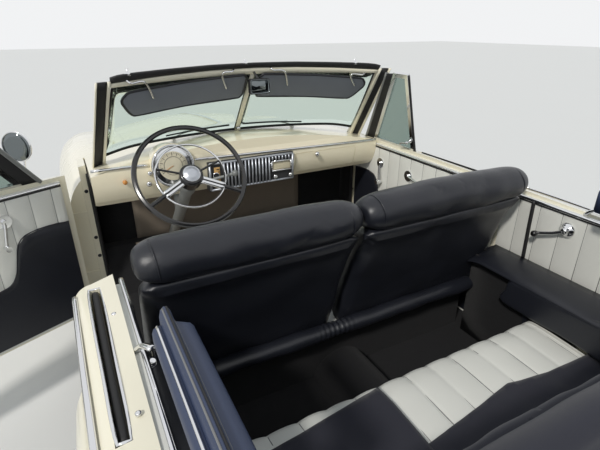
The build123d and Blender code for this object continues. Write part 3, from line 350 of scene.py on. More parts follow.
def lengthwise(name, section, x0, x1, finish, **where):
    """Bar along the car from x0 back to x1 with a section (Y, Z) and eased ends."""
    ring = [Vector(p) for p in section]
    middle = sum(ring, Vector((0, 0))) / len(ring)
    places = [(x0, 0.8), (x0 - 0.003, 0.93), (x0 - 0.009, 1.0)]
    places += [(x0 + (x1 - x0) * k / 8, 1.0) for k in range(1, 8)]
    places += [(x1 + 0.006, 1.0), (x1, 0.92)]
    return loft(name, [[(x, *middle.lerp(p, size)) for p in ring] for x, size in places], finish, **where)


def welt(name, profile, y, inset, radius, finish, lean=0.0, **where):
    """Piping round a stuffed form's section; lean tilts it, per metre above the section's middle."""
    ring = curve_through(profile, 0.012, closed=True)
    normals = outward(ring)
    middle = sum(ring, Vector((0, 0))) / len(ring)
    points = [
        (p.x - n.x * inset, y + lean * (p.y - middle.y), p.y - n.y * inset) for p, n in zip(ring, normals)
    ]
    return tube(name, points, radius, finish, closed=True, spacing=0.012, sides=6, **where)


def inflate(piece, voxel, pressure, cap):
    """Cloth under pressure swells a stuffed piece, no point of it by more than cap."""
    remesh = piece.modifiers.new("remesh", "REMESH")
    remesh.mode = "VOXEL"
    remesh.voxel_size = voxel
    remesh.use_smooth_shade = True
    settle(piece)
    before = [v.co.copy() for v in piece.data.vertices]
    last_frame = 20
    stiffness = 12
    cloth = piece.modifiers.new("cloth", "CLOTH")
    cloth.settings.quality = 4
    cloth.settings.mass = 0.3
    cloth.settings.tension_stiffness = stiffness
    cloth.settings.compression_stiffness = stiffness
    cloth.settings.bending_stiffness = 0.4
    cloth.settings.use_pressure = True
    cloth.settings.uniform_pressure_force = pressure
    cloth.settings.effector_weights.gravity = 0
    cloth.point_cache.frame_start = 1
    cloth.point_cache.frame_end = last_frame
    for step in range(1, last_frame + 1):
        bpy.context.scene.frame_set(step)
    settle(piece)
    for v, was in zip(piece.data.vertices, before):
        move = v.co - was
        if move.length > cap:
            v.co = was + move.normalized() * cap
    bpy.context.scene.frame_set(1)
    smooth = piece.modifiers.new("smooth", "SUBSURF")
    smooth.levels = smooth.render_levels = 1
    settle(piece)
    piece.data.shade_smooth()


def settle(piece):
    """Apply what the modifiers do to the mesh."""
    shown = piece.evaluated_get(bpy.context.evaluated_depsgraph_get())
    made = bpy.data.meshes.new_from_object(shown)
    kept = piece.data.materials[0]
    piece.modifiers.clear()
    piece.data = made
    if not made.materials:
        made.materials.append(kept)


def interpolate(rows, at):
    """Value of a table of (place, value) rows at a place between them."""
    rows = sorted(rows)
    if at <= rows[0][0]:
        return rows[0][1]
    for (a, u), (b, v) in zip(rows, rows[1:]):
        if at <= b:
            return u + (v - u) * (at - a) / (b - a)
    return rows[-1][1]


def from_seam(at, start, pitch):
    """How far a place is from the nearest seam: 0 at the seam, 1 midway to the next."""
    return abs((at - start + pitch / 2) % pitch - pitch / 2) / (pitch / 2)


def channels(pitch, depth, holds):
    """Sewn channels across the car: the skin is drawn in at the seams, pitch apart, where holds says so."""
    def press(x, y, z):
        if not holds(x, z):
            return 0
        t = from_seam(y, 0, pitch)
        return depth * (1 - math.sqrt(1 - (1 - t) ** 2))
    return press


def uneven(size, scale, seed):
    """Slight unevenness of a stuffed skin."""
    def press(x, y, z):
        return size * noise.noise(Vector((x, y, z)) * scale + Vector((seed, 0, 0)))
    return press


def both(*presses):
    return lambda x, y, z: sum(press(x, y, z) for press in presses)


# Seat backs: a smooth panel under a fat rolled top, with a padded roll at their foot
back_panel = [
    (-0.386, 0.563), (-0.428, 0.66), (-0.462, 0.77), (-0.496, 0.87), (-0.528, 0.955), (-0.557, 0.996),
    (-0.562, 1.014), (-0.545, 1.022), (-0.49, 1.01), (-0.455, 0.985), (-0.42, 0.93), (-0.35, 0.77),
    (-0.283, 0.602), (-0.33, 0.572),
]
back_top = [
    (-0.548, 1.02), (-0.575, 1.04), (-0.583, 1.078), (-0.566, 1.112), (-0.528, 1.129), (-0.486, 1.122),
    (-0.452, 1.097), (-0.437, 1.058), (-0.452, 1.02), (-0.495, 1.008),
]
panel_inset, welt_inset = 0.003, 0.052
for side, y0, y1, seed in (("driver", 0.04, 0.712, 3), ("passenger", -0.712, 0.03, 11)):
    lower = swept(
        f"{side}_back_panel", back_panel, y0 + panel_inset, y1 - panel_inset, vinyl_black, 0.03, 0.02,
        press=uneven(0.005, 9, seed), run=0.045,
    )
    top = swept(
        f"{side}_back_top", back_top, y0, y1, vinyl_black, 0.036, 0.014,
        press=uneven(0.004, 12, seed), run=0.088,
    )
    inflate(lower, 0.009, 2.0, 0.005)
    inflate(top, 0.008, 3.0, 0.007)
    for piece in (lower, top):
        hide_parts("front_seat_backs")
    for place, y in (("left", y1 - welt_inset), ("right", y0 + welt_inset)):
        welt(f"{side}_top_welt_{place}", back_top, y, 0.004, 0.0022, vinyl_black, 0.1)

roll_angles = [0.3 + k * math.pi / 5 for k in range(10)]
roll_ring = [(-0.438 + 0.032 * math.cos(a), 0.592 + 0.028 * math.sin(a)) for a in roll_angles]


def gathers(x, y, z):
    """Folds that gather near the middle of the roll."""
    gather_y, gather_width, fold_pitch = 0.06, 0.07, 0.021
    near = math.exp(-(((y - gather_y) / gather_width) ** 2))
    wander = noise.noise(Vector((x * 9, y * 5, z * 9))) * 3
    folds = 0.0024 * near * (1 + math.sin(y * 2 * math.pi / fold_pitch + wander + 30 * (z - 0.6)))
    return folds + 0.004 * noise.noise(Vector((x * 14, y * 12, z * 14)))


roll = swept("foot_roll", roll_ring, -0.64, 0.53, vinyl_black, 0.02, 0.004, 0.007, press=gathers)
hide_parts("front_seat_backs")

# Front and rear cushions and the rear back in sewn channels
front_cushion = [
    (-0.373, 0.513), (-0.14, 0.512), (0.098, 0.513), (0.119, 0.57), (0.094, 0.646), (0.02, 0.659),
    (-0.15, 0.651), (-0.328, 0.631), (-0.374, 0.595),
]
seat = swept(
    "front_cushion", front_cushion, -0.658, 0.658, vinyl_white, 0.03, 0.009, 0.014,
    channels(0.095, 0.006, lambda x, z: z > 0.6),
)
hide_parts("front_seat_cushion")
rear_cushion = [
    (-1.196, 0.453), (-0.98, 0.452), (-0.764, 0.453), (-0.734, 0.545), (-0.744, 0.592), (-0.792, 0.612),
    (-0.99, 0.604), (-1.176, 0.592), (-1.197, 0.55),
]
bench_half, pleat = 0.61, 0.0945


def scallop(x, y, z):
    """The front edge bulges between the seams."""
    return 0.002 * (1 - from_seam(y, 0, pleat)) ** 2 if -0.8 < x < -0.7 and z > 0.55 else 0


bench = swept(
    "rear_cushion", rear_cushion, -bench_half, bench_half, vinyl_white, 0.022, 0.006, 0.013,
    both(channels(pleat, 0.0042, lambda x, z: z > 0.5), uneven(0.003, 8, 5), scallop),
)
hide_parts("rear_seat_cushion")
seam_line = [(-1.17, 0.5885), (-0.99, 0.6), (-0.8, 0.607), (-0.754, 0.592), (-0.74, 0.545), (-0.764, 0.47)]
for i in range(13):
    seam = [(x, (i - 6) * pleat, z) for x, z in seam_line]
    tube(f"rear_cushion_seam_{i}", seam, 0.0018, seam_grey, spacing=0.03, sides=5)
for place, y in (("left", 0.596), ("right", -0.596), ("left_inner", 0.582), ("right_inner", -0.582)):
    welt(f"rear_cushion_piping_{place}", rear_cushion, y, 0.004, 0.0038, vinyl_white)

rear_back = [
    (-1.2485, 0.584), (-1.194, 0.584), (-1.201, 0.7), (-1.209, 0.82), (-1.219, 0.92), (-1.232, 0.952),
    (-1.248, 0.946), (-1.249, 0.78),
]
squab = swept(
    "rear_back", rear_back, -bench_half, bench_half, vinyl_white, 0.012, 0.009, 0.014,
    channels(pleat, 0.005, lambda x, z: x > -1.225),
)
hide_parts("rear_seat_back")

# Cloth laid over the rear back and the rear of the cushion, in two lengths
cushion_line = [(-0.7, 0.6), (-0.76, 0.613), (-0.8, 0.6185), (-0.99, 0.611), (-1.165, 0.602)]
rise_line = [
    (-1.184, 0.618), (-1.189, 0.68), (-1.196, 0.76), (-1.203, 0.85), (-1.212, 0.92), (-1.222, 0.954),
    (-1.238, 0.966), (-1.256, 0.964),
]


def cloth_length(name, edge, y0, y1, lift, seed):
    """Soft sheet that rises up the back: rows of edge are (Y, X) of its front edge."""
    mesh_size = 0.011
    columns = round(abs(y1 - y0) / mesh_size)
    path = curve_through(cushion_line + rise_line, mesh_size)
    rows = []
    for i in range(columns + 1):
        y = y0 + (y1 - y0) * i / columns
        front = interpolate(edge, y)
        behind = [p for p in path if p.x <= front + 0.001]
        row = []
        for k in range(len(path)):
            # the part of the line behind the front edge is spread over all its rows
            s = k / (len(path) - 1) * (len(behind) - 1)
            j = min(int(s), len(behind) - 2)
            q = behind[j] + (behind[j + 1] - behind[j]) * (s - j)
            if k == 0:
                q = Vector((front, q.y))
            fold = noise.noise(Vector((q.x * 4 + seed, y * 5, q.y * 4)))
            fold += 0.5 * noise.noise(Vector((q.x * 9, y * 13 + seed, q.y * 8)))
            up = lift + 0.009 * max(-0.2, fold + 0.35) * (0.35 + 0.65 * min(1, k / 8))
            slant = min(1, max(0, (q.y - 0.62) / 0.2))
            row.append((q.x + up * slant, y, q.y + up * (1 - slant)))
        rows.append(row)
    sheet_piece = panel(name, rows, cloth_dark, 0.004)


left_edge = [(0.118, -0.772), (0.124, -0.776), (0.25, -0.792), (0.4, -0.811), (0.6, -0.83)]
right_edge = [
    (-0.6, -0.975), (-0.402, -0.966), (-0.29, -0.95), (-0.246, -0.94), (-0.1, -0.962), (0.11, -0.988),
    (0.16, -0.99),
]
cloth_length("rear_cloth_left", left_edge, 0.118, 0.6, 0.007, 2)
cloth_length("rear_cloth_right", right_edge, -0.6, 0.16, 0.003, 7)

# Covers of the wheelhouses, with the lining below them
cover = [
    (-1.104, 0.628), (-0.9, 0.627), (-0.644, 0.628), (-0.642, 0.69), (-0.656, 0.732), (-0.7, 0.742),
    (-0.9, 0.743), (-1.104, 0.742),
]
lining = [
    (-0.903, 0.452), (-0.81, 0.451), (-0.722, 0.452), (-0.722, 0.54), (-0.722, 0.627), (-0.81, 0.628),
    (-0.903, 0.627), (-0.903, 0.54),
]
for side, sign, _ in both_sides:
    y0, y1 = sorted((sign * 0.574, sign * 0.6235))
    pad = swept(
        f"wheelhouse_cover_{side}", cover, y0, y1, vinyl_black, 0.016, 0.008, 0.014, uneven(0.003, 14, 4),
    )
    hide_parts("armrests")
    y0, y1 = sorted((sign * 0.6135, sign * 0.624))
    sheet_below = swept(f"wheelhouse_lining_{side}", lining, y0, y1, vinyl_black, 0.004, 0.004, 0.02)
    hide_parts("armrests")

# Folded top
top_profile = [
    (-1.2515, 0.704), (-1.2515, 0.86), (-1.253, 0.985), (-1.29, 1.058), (-1.38, 1.08), (-1.52, 1.074),
    (-1.628, 1.01), (-1.668, 0.95), (-1.668, 0.88), (-1.63, 0.706), (-1.45, 0.703),
]
crease_lines = [
    (-1.665, 0.915), (-1.652, 0.975), (-1.575, 1.047), (-1.645, 0.8), (-1.345, 1.072), (-1.655, 0.85),
]


def creases(x, y, z):
    """Long folds of the stacked cloth, which wander a little along their length."""
    depth, width = 0.014, 0.016
    drift = 0.01 * noise.noise(Vector((y * 3, x * 2, z * 2)))
    total = 0
    for cx, cz in crease_lines:
        d = math.hypot(x - cx, z - cz + drift)
        total += depth * math.exp(-((d / width) ** 2))
    return total + 0.006 * noise.noise(Vector((x * 8, y * 6, z * 8)))


stack = swept("top_stack", top_profile, -0.568, 0.568, cloth_dark, 0.045, 0.014, 0.01, creases)
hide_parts("folded_top")

# Side rails of the top's frame: three stepped bars, a bright bead and two grooves, on a bracket
rail_parts = {
    "outer": (-0.834, [(0.703, 1.052), (0.722, 1.052), (0.7245, 1.07), (0.7245, 1.09), (0.721, 1.099),
                       (0.714, 1.103), (0.703, 1.105)]),
    "ridge": (-0.818, [(0.684, 1.052), (0.7055, 1.052), (0.706, 1.11), (0.702, 1.126), (0.695, 1.133),
                       (0.688, 1.13), (0.684, 1.122)]),
    "plate": (-0.858, [(0.652, 1.052), (0.686, 1.052), (0.6865, 1.119), (0.683, 1.1205), (0.668, 1.114),
                       (0.656, 1.108), (0.652, 1.102)]),
}
rail_lines = [
    ("bead", -0.842, 0.7135, 1.1045, 0.0032, chrome),
    ("groove_outer", -0.828, 0.6985, 1.1305, 0.002, seam_grey),
    ("groove_inner", -0.828, 0.6905, 1.1325, 0.0022, rubber),
    ("edge", -0.862, 0.685, 1.1215, 0.0018, seam_grey),
]
bracket_section = [(0.692, 0.962), (0.736, 0.962), (0.736, 1.04), (0.722, 1.056), (0.692, 1.056)]
for side, _, place in both_sides:
    for label, (front, section) in rail_parts.items():
        rail = lengthwise(f"rail_{label}_{side}", section, front, -1.2345, rail_blue, **place)
        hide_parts("top_rails")
    bracket = lengthwise(f"rail_bracket_{side}", bracket_section, -1.132, -1.188, steel_dark, **place)
    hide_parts("top_rails")
    for label, front, y, z, radius, finish in rail_lines:
        line = [(x, y, z) for x in (front, -1.0, -1.233)]
        tube(f"rail_{label}_{side}", line, radius, finish, sides=6, **place)


def straight(xs, y, z):
    """Points along the car at one place in Y and Z."""
    return [(x, y, z) for x in xs]


# Door trims: pleats over a dark kick panel whose edge rises towards the hinge
hinge = Vector((0.646, 0.882, 0))
swung = Matrix.Translation(hinge) @ Matrix.Rotation(math.radians(-65), 4, "Z") @ Matrix.Translation(-hinge)
doors = {
    "left": {"shift": swung, "body": "door_left_body"},
    "right": {"shift": flipped, "body": "door_right_body"},
}
door_back, door_front = -0.413, 0.608
kick_edge = [
    (-0.413, 0.61), (0.15, 0.612), (0.281, 0.62), (0.328, 0.633), (0.356, 0.672), (0.372, 0.73),
    (0.388, 0.785), (0.423, 0.822), (0.513, 0.832), (0.608, 0.822),
]
kick_foot = 0.359
trim_y = 0.745
trim_pleat = 0.0885
door_seam, quarter_seam = 0.033, -0.52


def pleated(name, x0, x1, foot, top, start, **where):
    """Pleated sheet over the inner face; foot(x) is the height of its lower edge."""
    rows = []
    columns = round((x1 - x0) / 0.0055)
    for i in range(columns + 1):
        x = x0 + (x1 - x0) * i / columns
        t = from_seam(x, start, trim_pleat)
        edge = min(1, (x - x0) / 0.01, (x1 - x) / 0.01)
        bulge = 0.001 + 0.0038 * math.sqrt(max(0, 1 - (1 - t) ** 2)) * max(0.05, edge)
        low = foot(x)
        row = []
        for k in range(15):
            s = k / 14
            rim = min(1, 12 * s, 12 * (1 - s))
            row.append((x, trim_y - bulge * (0.35 + 0.65 * rim), low + (top - low) * s))
        rows.append(row)
    panel(name, rows, vinyl_white, **where)


def seam_tube(name, x, low, high, **where):
    y = trim_y - 0.0012
    tube(name, [(x, y, low), (x, y, high)], 0.0014, seam_grey, sides=5, spacing=0.1, **where)


kick_rows = []
for i in range(94):
    x = door_back + 1.021 * i / 93
    high = interpolate(kick_edge, x)
    row = [(x, trim_y - 0.0005, high), (x, trim_y - 0.003, high - 0.003)]
    for k in range(1, 9):
        y = trim_y - 0.003 - 0.0015 * math.sin(math.pi * k / 8)
        row.append((x, y, high - 0.003 + (kick_foot - high) * k / 8))
    kick_rows.append(row)
handle = [
    (-0.335, 0.876, 0.86), (-0.325, 0.905, 0.862), (-0.28, 0.914, 0.862), (-0.2, 0.912, 0.862),
    (-0.155, 0.904, 0.861), (-0.148, 0.874, 0.86),
]
vent_ahead = [(0.541, 0.762, 1.02), (0.245, 0.64, 1.398)]
vent_edge = [(0.474, 0.776, 1.018), (0.178, 0.6325, 1.404)]
vent_seal = []
for k in range(13):
    one, other = (Vector(foot).lerp(Vector(head), k / 12) for foot, head in (vent_ahead, vent_edge))
    vent_seal.append([tuple(one.lerp(other, share)) for share in (0, 0.25, 0.5, 0.75, 1)])
catch = [
    (0, 0.01), (0.006, 0.011), (0.008, 0.005), (0.02, 0.005), (0.022, 0.009), (0.028, 0.008), (0.03, 0.002),
]
door_bars = [
    ("door_kick_piping", [(x, trim_y - 0.0018, z) for x, z in kick_edge], 0.0032, vinyl_black,
     {"spacing": 0.015}),
    ("door_trim_strip", straight((door_back, 0.1, door_front), trim_y, 0.996), 0.0054, chrome),
    ("door_trim_strip_shadow", straight((door_back, door_front), trim_y - 0.001, 0.987), 0.0036, rubber),
    ("door_slot_felt_inner", straight((-0.412, 0.13), 0.7945, 1.0105), 0.0035, rubber),
    ("door_slot_felt_outer", straight((-0.412, 0.13), 0.8175, 1.0105), 0.0035, rubber),
    ("door_handle", handle, 0.009, chrome, {"spacing": 0.008}),
    ("door_moulding", [(-0.44, 0.871, 0.7), (0.1, 0.8745, 0.7), (0.632, 0.87, 0.7)], 0.008, chrome),
    ("vent_rubber_rear", [(0.14, 0.775, 1.016), (0.112, 0.704, 1.212), (0.083, 0.635, 1.402)], 0.007, rubber),
    ("vent_rubber_front", [(0.476, 0.775, 1.02), (0.328, 0.704, 1.212), (0.182, 0.635, 1.402)], 0.008,
     rubber),
    ("vent_outer_post", vent_ahead, 0.0095, plastic_grey, {"spacing": 0.04}),
    ("vent_catch_lever", [(0.15, 0.722, 1.068), (0.185, 0.724, 1.06), (0.205, 0.728, 1.05)], 0.005, chrome,
     {"spacing": 0.008}),
]
for side, place in doors.items():
    for i in range(12):
        x = door_seam + (i - 5) * trim_pleat
        if -0.41 < x < 0.6:
            seam_tube(f"door_seam_{side}_{i}", x, interpolate(kick_edge, x) + 0.002, 0.984, **place)
    pleated(
        f"door_pleats_{side}", door_back, door_front, lambda x: interpolate(kick_edge, x) - 0.004, 0.986,
        door_seam, **place,
    )
    panel(f"door_kick_panel_{side}", kick_rows, vinyl_black, **place)
    every(tube, door_bars, f"_{side}", **place)
    panel(f"vent_seal_{side}", vent_seal, rubber, 0.006, **place)
    lathe(f"vent_catch_{side}", (0.15, 0.748, 1.075), (0, -1, -0.3), catch, chrome, 16, **place)

# Door mirror: a round head on a bent arm
mirror_place = doors["left"]
mirror_back = Vector((0.53, 0.833, 1.164))
mirror_look = Vector((-0.848, -0.53, 0.0)).normalized()
arm = [(0.52, 0.838, 1.0), (0.531, 0.862, 1.05), (0.548, 0.874, 1.105), (0.552, 0.858, 1.15), mirror_back]
mirror_foot = [(0, 0.015), (0.01, 0.014), (0.018, 0.008), (0.024, 0.006)]
mirror_shell = [
    (-0.004, 0.01), (0.002, 0.032), (0.01, 0.052), (0.018, 0.0605), (0.024, 0.0625), (0.0275, 0.0615),
    (0.0275, 0.0585), (0.0255, 0.058),
]
mirror_face = [(0, 0.0582), (0.0012, 0.058), (0.0016, 0.04), (0.0018, 0.002)]
face_centre = mirror_back + mirror_look * 0.0258
for piece in (
    tube("mirror_arm", arm, 0.0055, chrome, spacing=0.01, sides=10, **mirror_place),
    lathe("mirror_foot", (0.52, 0.838, 0.992), (0, 0, 1), mirror_foot, chrome, 24, **mirror_place),
    lathe("mirror_shell", mirror_back, mirror_look, mirror_shell, chrome, 48, **mirror_place),
    lathe("mirror_face", face_centre, mirror_look, mirror_face, dark_mirror, 48, **mirror_place),
):
    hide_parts("door_mirror")

# Quarter trims: pleats, moulding, window crank, shelf over the wheelhouse, linings, garnish and slot
quarter_back, quarter_front = -1.275, -0.446
slot_line = [
    (-0.482, 0.7925, 1.009), (-0.482, 0.8195, 1.009), (-0.8, 0.8195, 1.006), (-0.976, 0.816, 1.001),
    (-0.978, 0.795, 1.002), (-0.8, 0.7925, 1.008),
]
belt_line = [
    (-0.47, 0.8535, 0.99), (-0.8, 0.8525, 0.988), (-1.1, 0.8465, 0.981), (-1.4, 0.822, 0.966),
    (-1.7, 0.792, 0.948),
]
windlace = [(-0.58, trim_y - 0.009, 1.0), (-0.583, trim_y - 0.01, 0.9), (-0.588, trim_y - 0.009, 0.757)]
lever = [(-0.726, trim_y - 0.026, 0.935), (-0.69, trim_y - 0.03, 0.915), (-0.638, trim_y - 0.034, 0.895)]
latch = [(-0.765, 0.752, 1.008), (-0.78, 0.744, 1.026), (-0.8, 0.738, 1.04), (-0.83, 0.728, 1.052)]
rail_link = [(-1.15, 0.722, 1.0), (-1.165, 0.722, 1.04), (-1.185, 0.716, 1.06)]
slot_felt = [(-0.49, 0.806, 0.998), (-0.8, 0.806, 0.996), (-0.97, 0.805, 0.991)]
quarter_bars = [
    ("quarter_strip", straight((quarter_back, -0.8, quarter_front), trim_y - 0.005, 0.999), 0.0075, chrome),
    ("quarter_strip_shadow", straight((quarter_back, quarter_front), trim_y - 0.003, 0.989), 0.004, rubber),
    ("quarter_windlace", windlace, 0.007, rubber),
    ("quarter_crank_lever", lever, 0.006, chrome, {"spacing": 0.01}),
    ("quarter_slot_edge", slot_line, 0.0035, chrome, {"closed": True, "spacing": 0.03}),
    ("quarter_slot_felt", slot_felt, 0.009, rubber),
    ("quarter_moulding", belt_line, 0.007, chrome, {"spacing": 0.03}),
    ("rail_latch", latch, 0.008, chrome, {"spacing": 0.01, "squash": 0.6}),
    ("rail_link", rail_link, 0.008, steel_dark),
]
crank_plate = [(0, 0.028), (0.006, 0.028), (0.01, 0.02), (0.022, 0.012), (0.026, 0.011), (0.028, 0.004)]
crank_knob = [(0, 0.006), (0.004, 0.01), (0.018, 0.012), (0.024, 0.009), (0.026, 0.003)]
screw = [(-0.004, 0.005), (0.001, 0.006), (0.003, 0.004), (0.0035, 0.001)]
shelf = [(0.744, 0.7548), (0.7, 0.759), (0.65, 0.7575), (0.612, 0.75), (0.588, 0.7445), (0.574, 0.737)]
shelf_rows = []
for i in range(55):
    drop = 0.02 * max(0, 1 - i / 7) ** 2
    shelf_rows.append(
        [(-0.45 - 0.658 * i / 54, y, z - drop * min(1, 6 * (0.744 - y) / 0.17)) for y, z in shelf]
    )
lining_rows = [
    [(x, 0.6225, z) for z in (0.352, 0.45, 0.55, 0.65, 0.742)] for x in (-0.444, -0.6, -0.75, -0.9)
]
jamb_rows = [[(-0.4415, y, z) for y in (0.632, 0.68, 0.745)] for z in (0.36, 0.5, 0.62, 0.744)]
for side, _, place in both_sides:
    for i in range(9):
        seam_tube(f"quarter_seam_{side}_{i}", quarter_seam - i * trim_pleat, 0.755, 0.988, **place)
    pleated(
        f"quarter_pleats_{side}", quarter_back, quarter_front, lambda x: 0.752, 0.99, quarter_seam, **place,
    )
    every(tube, quarter_bars, f"_{side}", **place)
    every(lathe, [
        ("quarter_crank_plate", (-0.726, trim_y - 0.004, 0.935), (0, -1, 0), crank_plate, chrome, 24),
        ("quarter_crank_knob", (-0.634, trim_y - 0.034, 0.893), (0, -1, 0), crank_knob, plastic_black, 16),
    ], f"_{side}", **place)
    panel(f"wheelhouse_shelf_{side}", shelf_rows, vinyl_black, 0.003, **place)
    panel(f"side_lining_{side}", lining_rows, carpet, 0.0015, **place)
    panel(f"jamb_lining_{side}", jamb_rows, vinyl_black, 0.0015, **place)
    for i, x in enumerate((-0.938, -0.62)):
        lathe(f"garnish_screw_{side}_{i}", (x, 0.776, 1.0135), (0, 0, 1), screw, chrome, 12, **place)


# Windshield: posts with a black channel, header, middle bar, panes and their rubber
def on_glass(y, z, depth):
    """Place on the windshield at a depth behind its outer face, which leans back and curves."""
    foot_x, foot_z, lean, curve_radius = 0.664, 1.123, math.radians(40), 1.69
    x = foot_x - (z - foot_z) * math.tan(lean) - y**2 / (2 * curve_radius) - depth
    return (x, y, z)


def along_glass(name, pairs, near, far, finish):
    """Bar that follows the windshield: pairs hold its two edges (Y, Z), near and far its depths."""
    corners = [(0, 0.2), (0, 0.8), (0.14, 1), (0.86, 1), (1, 0.8), (1, 0.2), (0.86, 0), (0.14, 0)]
    rings = []
    for one, other in pairs:
        ring = []
        for share, deep in corners:
            y, z = (p + (q - p) * share for p, q in zip(one, other))
            ring.append(on_glass(y, z, near + (far - near) * deep))
        rings.append(ring)
    piece = loft(name, rings, finish)
    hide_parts("windshield_frame")


def pad_on_glass(name, edge, near, far, finish):
    """Flat pad with a rounded rim behind the windshield, through an outline of (Y, Z)."""
    ring = curve_through([(0, y, z) for y, z in edge], 0.012, closed=True)
    middle = sum(ring, Vector((0, 0, 0))) / len(ring)
    rim = 0.002
    sizes = [
        (0.3, near), (0.7, near), (0.93, near), (0.985, near + rim), (1, (near + far) / 2), (0.985, far - rim)
    ]
    sizes += [(0.93, far), (0.7, far), (0.3, far)]
    rings = [[on_glass(*middle.lerp(p, size).yz, depth) for p in ring] for size, depth in sizes]
    return loft(name, rings, finish)


header_low = [(0, 1.411), (0.3, 1.406), (0.5, 1.4), (0.61, 1.396)]
header_mid = [(0, 1.44), (0.2, 1.437), (0.4, 1.428), (0.52, 1.42), (0.61, 1.414)]
header_top = [(0, 1.462), (0.2, 1.46), (0.4, 1.453), (0.52, 1.448), (0.58, 1.444), (0.61, 1.436)]
pane_foot = [(0, 1.121), (0.2, 1.119), (0.4, 1.115), (0.55, 1.107), (0.655, 1.088)]
post_edges = {
    "outer": ((0.724, 0.667), (0.7165, 0.6595), -0.002, 0.038, paint),
    "channel": ((0.717, 0.66), (0.6795, 0.6235), 0.003, 0.031, rubber),
    "inner": ((0.68, 0.624), (0.6655, 0.611), -0.002, 0.038, paint),
}
post_low, post_high = 1.003, 1.42
pane_inner, pane_outer_foot, pane_outer_top = 0.012, 0.657, 0.603
rubber_lines = [
    # name, (Y, Z) places, depth, radius, finish, sides
    ("pane_rubber_foot", [(y, z - 0.002) for y, z in pane_foot], 0.013, 0.0085, rubber, 8),
    ("pane_rubber_side", [(0.66, 1.086), (0.634, 1.24), (0.606, 1.402)], 0.018, 0.0045, rubber, 8),
    ("pane_rubber_bar", [(0.0135, 1.121), (0.0135, 1.26), (0.0135, 1.412)], 0.018, 0.0028, rubber, 6),
    ("wiper_blade", [(0.04, 1.146), (0.2, 1.142), (0.37, 1.132)], -0.006, 0.005, rubber, 6),
    ("wiper_holder", [(0.12, 1.147), (0.205, 1.146), (0.29, 1.142)], -0.011, 0.0035, chrome, 6),
]
wiper_arm = [(0.33, 1.118, -0.022), (0.28, 1.133, -0.019), (0.205, 1.146, -0.013)]
stop = [(0, 0.008), (0.004, 0.013), (0.01, 0.014), (0.016, 0.011), (0.019, 0.004)]
pivot = [(-0.03, 0.012), (0.0, 0.012), (0.008, 0.009), (0.01, 0.003)]
for side, sign, _ in both_sides:
    for label, (one, other, near, far, finish) in post_edges.items():
        pairs = []
        for k in range(13):
            t = k / 12
            z = post_low + (post_high - post_low) * t
            pairs.append([(sign * (foot + (top - foot) * t), z) for foot, top in (one, other)])
        along_glass(f"post_{label}_{side}", pairs, near, far, finish)
    lathe(f"post_stop_{side}", on_glass(sign * 0.704, 0.984, 0.026), (-1, 0, 0.35), stop, chrome, 24)
    rows = []
    for i in range(25):
        foot_y = pane_inner + (pane_outer_foot - pane_inner) * (i / 24)
        top_y = pane_inner + (pane_outer_top - pane_inner) * (i / 24)
        z0, z1 = interpolate(pane_foot, foot_y), interpolate(header_low, top_y) + 0.006
        column = []
        for k in range(7):
            share = k / 6
            column.append(on_glass(sign * (foot_y + (top_y - foot_y) * share), z0 + (z1 - z0) * share, 0.016))
        rows.append(column)
    pane = panel(f"pane_{side}", rows, tinted, 0.005)
    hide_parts("windshield_glass")
    for label, line, depth, radius, finish, round_of in rubber_lines:
        points = [on_glass(sign * y, z, depth) for y, z in line]
        tube(f"{label}_{side}", points, radius, finish, sides=round_of)
    points = [on_glass(sign * y, z, depth) for y, z, depth in wiper_arm]
    tube(f"wiper_arm_{side}", points, 0.004, chrome, sides=6)
    lathe(f"wiper_pivot_{side}", on_glass(sign * 0.33, 1.112, -0.022), (0.2, 0, 1), pivot, chrome, 16)

across_header = [-0.612 + 1.224 * k / 48 for k in range(49)]
pairs = [[(y, interpolate(header_low, abs(y))), (y, interpolate(header_mid, abs(y)))] for y in across_header]
along_glass("header", pairs, -0.002, 0.036, paint)
low, high = ([(y, interpolate(line, abs(y))) for y in across_header] for line in (header_mid, header_top))
pairs = [[(y, z - 0.001), other] for (y, z), other in zip(low, high)]
along_glass("header_seal", pairs, 0.002, 0.032, rubber)
pairs = [[(-0.0115, z), (0.0115, z)] for z in (1.1, 1.2, 1.3, 1.414)]
along_glass("middle_bar", pairs, 0.002, 0.03, paint)
shoe = [(0, 0.012), (0.01, 0.011), (0.014, 0.006), (0.016, 0.002)]
lathe("middle_bar_shoe", on_glass(0.0, 1.126, 0.034), (-1, 0, 0.3), shoe, chrome, 20)
pin = [(-0.004, 0.013), (0.004, 0.013), (0.006, 0.006), (0.018, 0.005), (0.021, 0.002)]
for i, y in enumerate((0.547, 0.045, -0.49)):
    z = interpolate(header_top, abs(y)) - 0.004
    lathe(f"header_pin_{i}", on_glass(y, z, 0.018), (0, 0, 1), pin, chrome, 16)

# Sun visors: grey pads with a dark piped rim, on bent rods that come down from the header
visor_edge = [
    (0.034, 1.318), (0.045, 1.304), (0.3, 1.288), (0.5, 1.27), (0.54, 1.276), (0.57, 1.318), (0.577, 1.34),
    (0.56, 1.364), (0.52, 1.376), (0.3, 1.396), (0.048, 1.41), (0.034, 1.4), (0.032, 1.36),
]
rods = {
    "left_outer": [(0.556, 1.424, 0.03), (0.538, 1.41, 0.052), (0.488, 1.411, 0.056), (0.451, 1.34, 0.056)],
    "left_inner": [(0.1, 1.44, 0.03), (0.113, 1.43, 0.052), (0.157, 1.422, 0.056), (0.124, 1.354, 0.056)],
    "right_inner": [(-0.076, 1.44, 0.03), (-0.082, 1.428, 0.052), (-0.139, 1.42, 0.056),
                    (-0.18, 1.352, 0.056)],
    "right_outer": [(-0.55, 1.405, 0.032), (-0.538, 1.393, 0.052), (-0.477, 1.393, 0.056),
                    (-0.524, 1.337, 0.056)],
}
